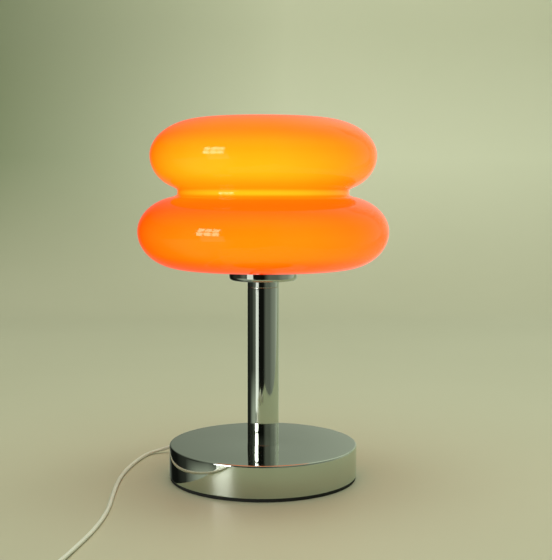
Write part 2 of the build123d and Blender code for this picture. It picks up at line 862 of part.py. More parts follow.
with BuildPart() as switch_rocker:
    with BuildSketch(rocker_plane):
        with BuildLine():
            half = rocker_length / 2
            rise = half * tan(radians(rocker_tilt))
            Polyline(
                (-half, rocker_pin_drop + rise),
                (0, rocker_pin_drop),
                (half, rocker_pin_drop + rise),
                (half - rocker_pin_drop, -rocker_depth),
                (rocker_pin_drop - half, -rocker_depth),
                close=True,
            )
        make_face()
    extrude(amount=rocker_width / 2, both=True)
    with BuildSketch(rocker_plane):
        Circle(rocker_pin_radius)
    extrude(amount=rocker_window_width / 2 + rocker_pin_reach - gap, both=True)

# ======== plug ========


def plug_plane(distance):
    """Plane across the plug, at a distance from the cord's end."""
    return Plane(origin=(plug_x + distance, plug_y, plug_axis_z), x_dir=(0, 1, 0), z_dir=(1, 0, 0))


with BuildPart() as plug_relief:
    with BuildSketch(plug_plane(0.0)):
        Circle(bushing_tip_radius)
    with BuildSketch(plug_plane(plug_relief_length)):
        Circle(bushing_root_radius - 0.8)
    loft()

with BuildPart() as plug_body:
    with BuildSketch(plug_plane(plug_relief_length)):
        RectangleRounded(plug_width, plug_height, plug_edge)
    extrude(amount=plug_length)

with BuildPart() as plug_shell:
    with BuildSketch(plug_plane(plug_relief_length + plug_length)):
        Rectangle(usb_width, usb_height)
        Rectangle(usb_width - 2 * usb_wall, usb_height - 2 * usb_wall, mode=Mode.SUBTRACT)
    extrude(amount=usb_length)

with BuildPart() as plug_tongue:
    with BuildSketch(plug_plane(plug_relief_length + plug_length)):
        with Locations((0, usb_height / 2 - usb_wall - tongue_thickness / 2)):
            Rectangle(tongue_width, tongue_thickness)
    extrude(amount=usb_length - 1)

with BuildPart() as plug_contacts:
    with BuildSketch(plug_plane(plug_relief_length + plug_length + usb_length - 2 - pin_length)):
        with Locations((0, usb_height / 2 - usb_wall - tongue_thickness - pin_thickness / 2)):
            with GridLocations(pin_pitch, 1, pin_count, 1):
                Rectangle(pin_width, pin_thickness)
    extrude(amount=pin_length)

# ======== files ========

pieces = {
    "foot_pad": foot_pad,
    "base_cover": base_cover,
    "bottom_plate": bottom_plate,
    "base_weight": base_weight,
    "plate_screws": plate_screws,
    "clamp_strap": clamp_strap,
    "clamp_screws": clamp_screws,
    "cord_bushing": cord_bushing,
    "cord_inner": cord_inner,
    "threaded_rod": threaded_rod,
    "flat_washer": flat_washer,
    "lock_washer": lock_washer,
    "stem_nut": stem_nut,
    "gallery_nut": gallery_nut,
    "stem_tube": stem_tube,
    "lower_bush": lower_bush,
    "stem_collar": stem_collar,
    "gallery_cup": gallery_cup,
    "shade_gasket": shade_gasket,
    "set_screws": set_screws,
    "glass_shade": glass_shade,
    "holder_cap": holder_cap,
    "holder_sleeve": holder_sleeve,
    "holder_core": holder_core,
    "terminal_screws": terminal_screws,
    "screw_shell": screw_shell,
    "centre_contact": centre_contact,
    "wire_positive": wire_positive,
    "wire_negative": wire_negative,
    "bulb_tip": bulb_tip,
    "bulb_insulator": bulb_insulator,
    "bulb_cap": bulb_cap,
    "bulb_housing": bulb_housing,
    "led_board": led_board,
    "led_chips": led_chips,
    "bulb_globe": bulb_globe,
    "cord": cord,
    "cord_link": cord_link,
    "cord_tail": cord_tail,
    "cord_coil": cord_coil,
    "coil_tie": coil_tie,
    "switch_lower_shell": switch_lower_shell,
    "switch_upper_shell": switch_upper_shell,
    "switch_screws": switch_screws,
    "switch_contacts": switch_contacts,
    "switch_rocker": switch_rocker,
    "plug_relief": plug_relief,
    "plug_body": plug_body,
    "plug_shell": plug_shell,
    "plug_tongue": plug_tongue,
    "plug_contacts": plug_contacts,
}

os.makedirs("parts", exist_ok=True)
for label, piece in pieces.items():
    piece.part.label = label
    export_step(piece.part, f"parts/{label}.step")
print(len(pieces), "pieces")
print("shade top at", round(outer_top, 2), "bulb top at", round(globe_centre_z + globe_radius, 2))
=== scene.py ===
"""Table lamp with a two-lobed glass shade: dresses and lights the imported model."""

import json
import logging
import math
from dataclasses import dataclass
from enum import Enum
from typing import NamedTuple, Sequence

import bmesh
import bpy
from mathutils import Matrix, Vector


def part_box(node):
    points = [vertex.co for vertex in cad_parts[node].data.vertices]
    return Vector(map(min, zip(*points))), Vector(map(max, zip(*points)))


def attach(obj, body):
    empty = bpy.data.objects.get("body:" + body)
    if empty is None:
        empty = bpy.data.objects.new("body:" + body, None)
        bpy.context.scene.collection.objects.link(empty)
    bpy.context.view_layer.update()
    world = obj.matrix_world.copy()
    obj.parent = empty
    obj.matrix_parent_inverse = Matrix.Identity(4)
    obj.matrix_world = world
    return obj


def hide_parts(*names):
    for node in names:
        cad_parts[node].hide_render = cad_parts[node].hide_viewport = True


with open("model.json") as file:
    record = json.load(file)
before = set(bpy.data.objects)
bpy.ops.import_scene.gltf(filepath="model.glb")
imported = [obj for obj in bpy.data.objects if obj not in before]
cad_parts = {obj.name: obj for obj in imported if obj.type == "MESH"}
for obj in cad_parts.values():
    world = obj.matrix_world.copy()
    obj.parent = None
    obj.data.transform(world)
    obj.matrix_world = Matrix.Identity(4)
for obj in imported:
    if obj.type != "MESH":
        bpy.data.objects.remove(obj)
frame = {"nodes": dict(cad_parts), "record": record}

log = logging.getLogger("lamp")
MM = 0.001
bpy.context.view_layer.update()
Point = tuple[float, float, float]
Colour = tuple[float, float, float]

# Where the cord leaves the base: out to the back left, at this height.
CORD_WAY = Vector((-1.0, 1.0, 0.0)).normalized()
CORD_HEIGHT = 9.2 * MM


# ---------------------------------------------------------------- node trees


class Graph:
    """Short way to add and join nodes in one node tree."""

    def __init__(self, tree: bpy.types.NodeTree) -> None:
        """Work on a tree.

        Args:
            tree: the shader or geometry node tree.
        """
        self.tree = tree

    def add(self, kind: str, inputs: dict | None = None, **settings) -> bpy.types.Node:
        """Add a node, with its settings first and its inputs after them.

        Args:
            kind: the node's type name.
            inputs: values or output sockets, by input name or number.
            **settings: the node's own properties.

        Returns:
            The new node.
        """
        node = self.tree.nodes.new(kind)
        for name, value in settings.items():
            setattr(node, name, value)
        for name, value in (inputs or {}).items():
            self.feed(node.inputs[name], value)
        return node

    def feed(self, socket: bpy.types.NodeSocket, value: object) -> None:
        """Link an output to an input, or set the input's own value.

        Args:
            socket: the input socket.
            value: an output socket or a plain value.
        """
        if isinstance(value, bpy.types.NodeSocket):
            self.tree.links.new(value, socket)
        elif socket.type == "RGBA":
            socket.default_value = (*value[:3], 1.0)
        else:
            socket.default_value = value

    def math(self, operation: str, *values: object) -> bpy.types.NodeSocket:
        """Add a Math node and return its result.

        Args:
            operation: the node's operation.
            *values: numbers or output sockets.

        Returns:
            The result's socket.
        """
        node = self.add("ShaderNodeMath", dict(enumerate(values)), operation=operation)
        return node.outputs[0]

    def vector(self, operation: str, *values: object) -> bpy.types.Node:
        """Add a Vector Math node.

        Args:
            operation: the node's operation.
            *values: vectors or output sockets.

        Returns:
            The node.
        """
        return self.add("ShaderNodeVectorMath", dict(enumerate(values)), operation=operation)

    def span(self, value: object, low: float, high: float, start: float, end: float) -> bpy.types.NodeSocket:
        """Map a value from one range to another, held at its ends.

        Args:
            value: the value's socket.
            low: where the first range starts.
            high: where the first range ends.
            start: result at low.
            end: result at high.

        Returns:
            The result's socket.
        """
        inputs = {"Value": value, "From Min": low, "From Max": high, "To Min": start, "To Max": end}
        return self.add("ShaderNodeMapRange", inputs).outputs["Result"]

    def blend(self, share: object, first: object, second: object) -> bpy.types.NodeSocket:
        """Mix two colours.

        Args:
            share: how much of the second colour.
            first: colour or socket.
            second: colour or socket.

        Returns:
            The mixed colour's socket.
        """
        node = self.add("ShaderNodeMix", data_type="RGBA")
        self.feed(node.inputs[0], share)
        self.feed(node.inputs[6], first)
        self.feed(node.inputs[7], second)
        return node.outputs[2]


def new_group(name: str, kind: str, inputs: Sequence[tuple], outputs: Sequence[tuple]) -> tuple:
    """Start a node group with named sockets.

    Args:
        name: the group's name.
        kind: "ShaderNodeTree" or "GeometryNodeTree".
        inputs: name, socket type and default value of each input.
        outputs: name and socket type of each output.

    Returns:
        The graph, the group's input node and its output node.
    """
    tree = bpy.data.node_groups.new(name, kind)
    for label, socket_type, default in inputs:
        socket = tree.interface.new_socket(label, in_out="INPUT", socket_type=socket_type)
        if default is not None:
            socket.default_value = default
    for label, socket_type in outputs:
        tree.interface.new_socket(label, in_out="OUTPUT", socket_type=socket_type)
    graph = Graph(tree)
    return graph, graph.add("NodeGroupInput"), graph.add("NodeGroupOutput")


FLOAT, WHOLE, TONE, SHAPE = "NodeSocketFloat", "NodeSocketInt", "NodeSocketColor", "NodeSocketGeometry"


# Green light through the glass, from the neck's root to the crown, as shares of the shade's height.
GLOW_BY_HEIGHT = (
    (0.0, 0.14),
    (1.0, 0.22),
    (0.066, 0.20),
    (0.091, 0.23),
    (0.124, 0.30),
    (0.182, 0.30),
    (0.268, 0.275),
    (0.355, 0.225),
    (0.388, 0.19),
    (0.446, 0.17),
    (0.478, 0.24),
    (0.491, 0.36),
    (0.504, 0.48),
    (0.517, 0.60),
    (0.531, 0.53),
    (0.544, 0.41),
    (0.557, 0.48),
    (0.584, 0.52),
    (0.636, 0.58),
    (0.716, 0.51),
    (0.760, 0.455),
    (0.831, 0.38),
    (0.884, 0.285),
    (0.942, 0.265),
)


class Effects:
    """Shader groups that several finishes share, each built once."""

    # Noise levels between which a mark goes from none to full.
    SMUDGE = (0.45, 0.72)
    SCRATCH = (0.66, 0.74)
    SPECK = (0.5, 0.75)
    CHIPPING = (0.4, 0.65)
    PORE = (0.1, 0.5)
    # How far up a face has to look to hold dust, and how sharp an edge has to be to wear.
    DUST_SLOPE = (0.55, 1.0)
    SHARP_EDGE = (0.51, 0.6)
    # The glow: the waist's share of the height, how much the lower lobe fades sideways, the level in
    # the middle, the blotches, and the red and blue of the light.
    WAIST = (0.42, 0.58)
    LOWER_FADE = 0.15
    MIDDLE_LEVEL = 0.97
    BLOTCHES = (0.96, 1.04)
    RED = 0.93
    BLUE = 0.03

    def __init__(self) -> None:
        """Build every group."""
        self.handling = self.make_handling()
        self.grain = self.make_grain()
        self.edges = self.make_edges()
        self.glow = self.make_glow()

    def make_handling(self) -> bpy.types.NodeTree:
        """Finger smudges, hairline scratches and settled dust.

        Returns:
            Group with the masks Smudge, Scratch and Dust.
        """
        graph, given, made = new_group(
            "handling", "ShaderNodeTree",
            [("Smudge Size", FLOAT, 0.03), ("Scratch Size", FLOAT, 0.004), ("Seed", FLOAT, 1.0)],
            [("Smudge", FLOAT), ("Scratch", FLOAT), ("Dust", FLOAT)],
        )
        place = graph.add("ShaderNodeTexCoord").outputs["Object"]
        soft = graph.add("ShaderNodeTexNoise", noise_dimensions="4D")
        graph.feed(soft.inputs["Vector"], place)
        graph.feed(soft.inputs["W"], given.outputs["Seed"])
        graph.feed(soft.inputs["Scale"], graph.math("DIVIDE", 1.0, given.outputs["Smudge Size"]))
        graph.feed(soft.inputs["Detail"], 5.0)
        smudge = graph.span(soft.outputs["Fac"], *self.SMUDGE, 0.0, 1.0)
        stretch = graph.vector("MULTIPLY", place, (1.0, 1.0, 0.08))
        hair = graph.add("ShaderNodeTexNoise", noise_dimensions="4D")
        graph.feed(hair.inputs["Vector"], stretch.outputs[0])
        graph.feed(hair.inputs["W"], given.outputs["Seed"])
        graph.feed(hair.inputs["Scale"], graph.math("DIVIDE", 1.0, given.outputs["Scratch Size"]))
        graph.feed(hair.inputs["Detail"], 2.0)
        scratch = graph.span(hair.outputs["Fac"], *self.SCRATCH, 0.0, 1.0)
        upward = graph.add("ShaderNodeSeparateXYZ", {0: graph.add("ShaderNodeNewGeometry").outputs["Normal"]})
        specks = graph.add("ShaderNodeTexNoise", {"Vector": place, "Scale": 900.0, "Detail": 3.0})
        settled = graph.span(upward.outputs["Z"], *self.DUST_SLOPE, 0.0, 1.0)
        dust = graph.math("MULTIPLY", settled, graph.span(specks.outputs["Fac"], *self.SPECK, 0.0, 1.0))
        graph.feed(made.inputs["Smudge"], smudge)
        graph.feed(made.inputs["Scratch"], scratch)
        graph.feed(made.inputs["Dust"], dust)
        return graph.tree

    def make_grain(self) -> bpy.types.NodeTree:
        """Fine surface grain of a moulding, a casting or a foam.

        Returns:
            Group with the height Grain and the slow variation Drift.
        """
        graph, given, made = new_group(
            "grain", "ShaderNodeTree",
            [("Grain Size", FLOAT, 0.001), ("Drift Size", FLOAT, 0.02), ("Pores", FLOAT, 0.0)],
            [("Grain", FLOAT), ("Drift", FLOAT)],
        )
        place = graph.add("ShaderNodeTexCoord").outputs["Object"]
        fine = graph.add("ShaderNodeTexNoise", {"Vector": place, "Detail": 4.0})
        graph.feed(fine.inputs["Scale"], graph.math("DIVIDE", 1.0, given.outputs["Grain Size"]))
        cells = graph.add("ShaderNodeTexVoronoi", {"Vector": place})
        graph.feed(cells.inputs["Scale"], graph.math("DIVIDE", 1.0, given.outputs["Grain Size"]))
        hollow = graph.span(cells.outputs["Distance"], *self.PORE, 1.0, 0.0)
        pitted = graph.math("MULTIPLY", hollow, given.outputs["Pores"])
        slow = graph.add("ShaderNodeTexNoise", {"Vector": place, "Detail": 2.0})
        graph.feed(slow.inputs["Scale"], graph.math("DIVIDE", 1.0, given.outputs["Drift Size"]))
        graph.feed(made.inputs["Grain"], graph.math("SUBTRACT", fine.outputs["Fac"], pitted))
        graph.feed(made.inputs["Drift"], slow.outputs["Fac"])
        return graph.tree

    def make_edges(self) -> bpy.types.NodeTree:
        """Wear along outer edges.

        Returns:
            Group with the mask Wear.
        """
        graph, given, made = new_group(
            "edges", "ShaderNodeTree", [("Amount", FLOAT, 0.5)], [("Wear", FLOAT)]
        )
        sharpness = graph.add("ShaderNodeNewGeometry").outputs["Pointiness"]
        place = graph.add("ShaderNodeTexCoord").outputs["Object"]
        patches = graph.add("ShaderNodeTexNoise", {"Vector": place, "Scale": 300.0, "Detail": 4.0})
        edge = graph.span(sharpness, *self.SHARP_EDGE, 0.0, 1.0)
        broken = graph.math("MULTIPLY", edge, graph.span(patches.outputs["Fac"], *self.CHIPPING, 0.0, 1.0))
        graph.feed(made.inputs["Wear"], graph.math("MULTIPLY", broken, given.outputs["Amount"]))
        return graph.tree

    def make_glow(self) -> bpy.types.NodeTree:
        """Light that a bulb inside sends through tinted glass, by height and by side.

        Returns:
            Group with the Glow colour and the Light level.
        """
        graph, given, made = new_group(
            "glow", "ShaderNodeTree",
            [("Bottom", FLOAT, 0.0), ("Top", FLOAT, 1.0), ("Side Fade", FLOAT, 2.0), ("Edge", FLOAT, 0.0)],
            [("Glow", TONE), ("Light", FLOAT)],
        )
        place = graph.add("ShaderNodeTexCoord").outputs["Object"]
        parts = graph.add("ShaderNodeSeparateXYZ", {0: place})
        height = graph.math("SUBTRACT", parts.outputs["Z"], given.outputs["Bottom"])
        share = graph.math(
            "DIVIDE", height, graph.math("SUBTRACT", given.outputs["Top"], given.outputs["Bottom"])
        )
        ramp = graph.add("ShaderNodeValToRGB", {"Fac": share})
        steps = ramp.color_ramp
        steps.interpolation = "CARDINAL"
        for number, (place_on_shade, level) in enumerate(GLOW_BY_HEIGHT):
            if number < 2:
                stop = steps.elements[number]
                stop.position = place_on_shade
            else:
                stop = steps.elements.new(place_on_shade)
            stop.color = (level, level, level, 1.0)
        tilt = graph.span(share, *self.WAIST, self.LOWER_FADE, 1.0)
        aside = graph.math("MULTIPLY", parts.outputs["X"], given.outputs["Side Fade"])
        fade = graph.math("MULTIPLY", aside, tilt)
        sided = graph.math("MULTIPLY", ramp.outputs["Color"], graph.math("SUBTRACT", self.MIDDLE_LEVEL, fade))
        blotch = graph.add("ShaderNodeTexNoise", {"Vector": place, "Scale": 28.0, "Detail": 2.0})
        uneven = graph.math("MULTIPLY", sided, graph.span(blotch.outputs["Fac"], 0.2, 0.8, *self.BLOTCHES))
        light = graph.math("MULTIPLY", uneven, graph.math("SUBTRACT", 1.0, given.outputs["Edge"]))
        glow = graph.add("ShaderNodeCombineColor", {"Red": self.RED, "Green": light})
        graph.feed(glow.inputs["Blue"], graph.math("MULTIPLY", graph.math("POWER", light, 2.0), self.BLUE))
        graph.feed(made.inputs["Glow"], glow.outputs["Color"])
        graph.feed(made.inputs["Light"], light)
        return graph.tree


# ---------------------------------------------------------------- finishes


@dataclass(frozen=True)
class Finish:
    """A surface finish that can build its own material."""

    name: str

    def start(self) -> tuple[bpy.types.Material, Graph, bpy.types.Node]:
        """Make an empty material with one Principled shader.

        Returns:
            The material, its graph and the shader node.
        """
        material = bpy.data.materials.new(self.name)
        material.use_nodes = True
        graph = Graph(material.node_tree)
        return material, graph, material.node_tree.nodes["Principled BSDF"]

    def material(self, effects: Effects) -> bpy.types.Material:
        """Build the material.

        Args:
            effects: the shared shader groups.

        Returns:
            The finished material.
        """
        raise NotImplementedError


def place_group(graph: Graph, tree: bpy.types.NodeTree, **values: float) -> bpy.types.Node:
    """Place a shared group in a material with its own values.

    Args:
        graph: the material's graph.
        tree: the shared group.
        **values: input values, with underscores for spaces.

    Returns:
        The group node.
    """
    node = graph.add("ShaderNodeGroup", node_tree=tree)
    for name, value in values.items():
        graph.feed(node.inputs[name.replace("_", " ")], value)
    return node


def add_bump(graph: Graph, shader: bpy.types.Node, height: object, strength: float, depth: float) -> None:
    """Feed a height into the shader's normal.

    Args:
        graph: the material's graph.
        shader: the Principled node.
        height: the height's socket.
        strength: from 0 to 1.
        depth: the real depth in metres.
    """
    bump = graph.add("ShaderNodeBump", {"Strength": strength, "Distance": depth, "Height": height})
    graph.feed(shader.inputs["Normal"], bump.outputs["Normal"])


@dataclass(frozen=True)
class PlatedMetal(Finish):
    """Polished plate: chrome, nickel, bright brass or zinc."""

    tone: Colour
    roughness: float = 0.04
    smudge: float = 0.05
    scratch: float = 0.06
    dust: float = 0.05
    grain_size: float = 0.0006
    grain_depth: float = 0.0
    dulling: float = 0.86
    dulled_share: float = 0.35
    brightening: float = 1.1
    powder_tone: Colour = (0.55, 0.53, 0.48)

    def material(self, effects: Effects) -> bpy.types.Material:
        """Build the metal with smudges, hairlines, dust and worn edges.

        Args:
            effects: the shared shader groups.

        Returns:
            The finished material.
        """
        material, graph, shader = self.start()
        shader.inputs["Metallic"].default_value = 1.0
        touch = place_group(graph, effects.handling, Smudge_Size=0.035, Scratch_Size=0.003)
        grain = place_group(graph, effects.grain, Grain_Size=self.grain_size, Drift_Size=0.03)
        wear = place_group(graph, effects.edges, Amount=0.3)
        smeared = graph.math("MULTIPLY", touch.outputs["Smudge"], self.smudge)
        lined = graph.math("MULTIPLY", touch.outputs["Scratch"], self.scratch)
        dusty = graph.math("MULTIPLY", touch.outputs["Dust"], self.dust)
        rough = graph.math("ADD", graph.math("ADD", smeared, lined), dusty)
        graph.feed(shader.inputs["Roughness"], graph.math("ADD", rough, self.roughness))
        dulled = tuple(value * self.dulling for value in self.tone)
        share = graph.math("MULTIPLY", grain.outputs["Drift"], self.dulled_share)
        body = graph.blend(share, self.tone, dulled)
        powder = graph.blend(dusty, body, self.powder_tone)
        bright = tuple(min(1.0, value * self.brightening) for value in self.tone)
        graph.feed(shader.inputs["Base Color"], graph.blend(wear.outputs["Wear"], powder, bright))
        if self.grain_depth > 0:
            add_bump(graph, shader, grain.outputs["Grain"], 0.6, self.grain_depth)
        return material


@dataclass(frozen=True)
class Moulding(Finish):
    """Moulded plastic, rubber, ceramic or foam."""

    tone: Colour
    roughness: float = 0.35
    grain_size: float = 0.0008
    grain_depth: float = 0.00003
    pores: float = 0.0
    sheen: float = 0.0
    coat: float = 0.0
    glow: float = 0.0
    wear: float = 0.3
    darkening: float = 0.8
    dust: float = 0.12
    powder_tone: Colour = (0.5, 0.48, 0.43)
    rubbed_polish: float = -0.08

    def material(self, effects: Effects) -> bpy.types.Material:
        """Build the moulded material with grain, dust and rubbed edges.

        Args:
            effects: the shared shader groups.

        Returns:
            The finished material.
        """
        material, graph, shader = self.start()
        shader.inputs["Sheen Weight"].default_value = self.sheen
        shader.inputs["Coat Weight"].default_value = self.coat
        grain = place_group(
            graph, effects.grain, Grain_Size=self.grain_size, Drift_Size=0.012, Pores=self.pores
        )
        touch = place_group(graph, effects.handling, Smudge_Size=0.02, Scratch_Size=0.002)
        rubbed = place_group(graph, effects.edges, Amount=self.wear)
        darker = tuple(value * self.darkening for value in self.tone)
        lighter = tuple(min(1.0, value * 1.25 + 0.02) for value in self.tone)
        body = graph.blend(grain.outputs["Drift"], self.tone, darker)
        worn = graph.blend(rubbed.outputs["Wear"], body, lighter)
        dusty = graph.math("MULTIPLY", touch.outputs["Dust"], self.dust)
        graph.feed(shader.inputs["Base Color"], graph.blend(dusty, worn, self.powder_tone))
        polish = graph.math("MULTIPLY", touch.outputs["Smudge"], self.rubbed_polish)
        graph.feed(shader.inputs["Roughness"], graph.math("ADD", polish, self.roughness))
        add_bump(graph, shader, grain.outputs["Grain"], 0.7, self.grain_depth)
        if self.glow > 0:
            graph.feed(shader.inputs["Emission Color"], body)
            shader.inputs["Emission Strength"].default_value = self.glow
        return material


@dataclass(frozen=True)
class LitGlass(Finish):
    """Cased orange glass, glossy outside and lit from inside."""

    tone: Colour = (0.42, 0.09, 0.004)
    deeper_tone: Colour = (0.40, 0.075, 0.004)
    roughness: float = 0.06
    smudge: float = 0.05
    bottom: float = 0.165
    top: float = 0.286
    edge_start: float = 0.35
    edge_depth: float = 0.95
    side_fade: float = 2.0
    coat: float = 0.08
    coat_roughness: float = 0.02
    refraction: float = 1.36
    gloss_tint: Colour = (1.0, 0.85, 0.6)

    def material(self, effects: Effects) -> bpy.types.Material:
        """Build the glass with the bulb's glow, deeper in colour where it is seen edge on.

        Args:
            effects: the shared shader groups.

        Returns:
            The finished material.
        """
        material, graph, shader = self.start()
        facing = graph.add("ShaderNodeLayerWeight", {"Blend": self.edge_start}).outputs["Facing"]
        edge = graph.math("MULTIPLY", facing, self.edge_depth)
        glow = place_group(
            graph, effects.glow, Bottom=self.bottom, Top=self.top, Side_Fade=self.side_fade, Edge=edge
        )
        touch = place_group(graph, effects.handling, Smudge_Size=0.04, Scratch_Size=0.006)
        grain = place_group(graph, effects.grain, Grain_Size=0.009, Drift_Size=0.03)
        shader.inputs["Coat Weight"].default_value = self.coat
        shader.inputs["Coat Roughness"].default_value = self.coat_roughness
        shader.inputs["IOR"].default_value = self.refraction
        shader.inputs["Specular Tint"].default_value = (*self.gloss_tint, 1.0)
        uneven = graph.blend(grain.outputs["Drift"], self.tone, self.deeper_tone)
        graph.feed(shader.inputs["Base Color"], uneven)
        smeared = graph.math("MULTIPLY", touch.outputs["Smudge"], self.smudge)
        graph.feed(shader.inputs["Roughness"], graph.math("ADD", smeared, self.roughness))
        graph.feed(shader.inputs["Emission Color"], glow.outputs["Glow"])
        shader.inputs["Emission Strength"].default_value = 1.0
        add_bump(graph, shader, grain.outputs["Grain"], 0.15, 0.0002)
        return material


class Slot(Enum):
    """The record's material slots, each with its finish."""

    BLACK_FOAM = Moulding("black_foam", (0.012, 0.012, 0.011), 0.85, 0.0006, 0.0001, pores=0.6)
    CHROME = PlatedMetal("chrome", (0.62, 0.64, 0.60), roughness=0.03)
    ZINC = PlatedMetal(
        "zinc_steel", (0.50, 0.51, 0.50), roughness=0.24, smudge=0.1, scratch=0.1, dust=0.1,
        grain_size=0.0015, grain_depth=0.00002,
    )
    IRON = Moulding("cast_iron", (0.06, 0.058, 0.055), 0.7, 0.0012, 0.00015, pores=0.3)
    BLACK_PLASTIC = Moulding("black_plastic", (0.02, 0.02, 0.02), 0.4)
    WHITE_PLASTIC = Moulding("white_plastic", (0.74, 0.76, 0.70), 0.32, wear=0.1)
    CORD = Moulding("cord_white", (0.84, 0.90, 0.80), 0.42, 0.0012, 0.00004, sheen=0.1, wear=0.0)
    BRASS = PlatedMetal("brass", (0.62, 0.43, 0.16), roughness=0.15, smudge=0.1, scratch=0.1)
    SILICONE = Moulding("clear_rubber", (0.45, 0.44, 0.40), 0.5, 0.0015, 0.00003, sheen=0.1)
    GLASS = LitGlass("orange_glass")
    CERAMIC = Moulding("ceramic", (0.70, 0.67, 0.60), 0.45, 0.0007, 0.00004, coat=0.2)
    WIRE_RED = Moulding("wire_red", (0.28, 0.008, 0.008), 0.4)
    WIRE_BLACK = Moulding("wire_black", (0.012, 0.012, 0.012), 0.4)
    NICKEL = PlatedMetal("nickel", (0.58, 0.55, 0.49), roughness=0.12, smudge=0.08, scratch=0.12)
    BULB_WHITE = Moulding("bulb_white", (0.78, 0.78, 0.74), 0.3, wear=0.1)
    # The board's glow is painted light, as if lit by its own chips.
    BOARD = Moulding("board_white", (0.74, 0.74, 0.70), 0.5, glow=0.6)
    LED = Moulding("led_yellow", (0.95, 0.72, 0.15), 0.3, glow=4.0)
    OPAL = Moulding("opal", (1.0, 0.86, 0.58), 0.35, 0.002, 0.00002, glow=1.6, wear=0.0)
    STRAP = Moulding("tie_black", (0.02, 0.02, 0.02), 0.9, 0.0005, 0.0001, pores=0.8, sheen=0.4)


class Paint:
    """All materials of the lamp, built once and handed out by slot name."""

    def __init__(self) -> None:
        """Build each slot's material."""
        effects = Effects()
        self.by_slot = {slot.value.name: slot.value.material(effects) for slot in Slot}

    def of(self, slot: Slot) -> bpy.types.Material:
        """Material of a slot."""
        return self.by_slot[slot.value.name]

    def dress_frame(self) -> int:
        """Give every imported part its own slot's material.

        Returns:
            How many parts were dressed.
        """
        for part in frame["record"]["subparts"]:
            mesh = frame["nodes"][part["node"]].data
            mesh.materials.clear()
            mesh.materials.append(self.by_slot[part["material_slot"]])
        return len(frame["record"]["subparts"])


# ---------------------------------------------------------------- shape tools


class Outline:
    """Half outline of a turned piece, as radius and height, in metres."""

    def __init__(self) -> None:
        """Start an empty outline."""
        self.points: list[tuple[float, float]] = []

    def to(self, radius: float, height: float) -> "Outline":
        """Go straight to a point."""
        self.points.append((radius, height))
        return self

    def arc(
        self, centre: tuple, across: float, up: float, start: float, end: float, steps: int, last: bool = True
    ) -> "Outline":
        """Follow part of an ellipse.

        Args:
            centre: radius and height of its centre.
            across: half axis along the radius.
            up: half axis along the height.
            start: first angle in degrees, from the outward direction.
            end: last angle in degrees.
            steps: pieces of the arc.
            last: False leaves out the last point, where the next arc starts.

        Returns:
            This outline.
        """
        for number in range(steps + 1 if last else steps):
            angle = math.radians(start + (end - start) * number / steps)
            self.to(centre[0] + across * math.cos(angle), centre[1] + up * math.sin(angle))
        return self

    def corners(self, *corners: tuple[float, float, float], steps: int = 6) -> "Outline":
        """Follow straight lines with rounded corners.

        Args:
            *corners: radius, height and rounding of each corner.
            steps: pieces of each rounding.

        Returns:
            This outline.
        """
        places = [Vector((radius, height)) for radius, height, _ in corners]
        for number, (radius, height, rounding) in enumerate(corners):
            if rounding <= 0:
                self.to(radius, height)
                continue
            here = places[number]
            back = (places[number - 1] - here).normalized()
            on = (places[(number + 1) % len(places)] - here).normalized()
            reach = rounding / math.tan(back.angle(on) / 2)
            first, last = here + back * reach, here + on * reach
            for step in range(steps + 1):
                share = step / steps
                near = first.lerp(here, share)
                far = here.lerp(last, share)
                self.to(*near.lerp(far, share))
        return self


def bare_mesh(name: str, points: Sequence, edges: Sequence, faces: Sequence = ()) -> bpy.types.Mesh:
    """Make a mesh from its points.

    Args:
        name: the mesh's name.
        points: corner places.
        edges: pairs of corner numbers.
        faces: lists of corner numbers.

    Returns:
        The mesh.
    """
    mesh = bpy.data.meshes.new(name)
    mesh.from_pydata([tuple(point) for point in points], edges, faces)
    mesh.update()
    return mesh


def link_object(name: str, data: bpy.types.ID) -> bpy.types.Object:
    """Put an object with this data in the scene."""
    made = bpy.data.objects.new(name, data)
    bpy.context.scene.collection.objects.link(made)
    return made


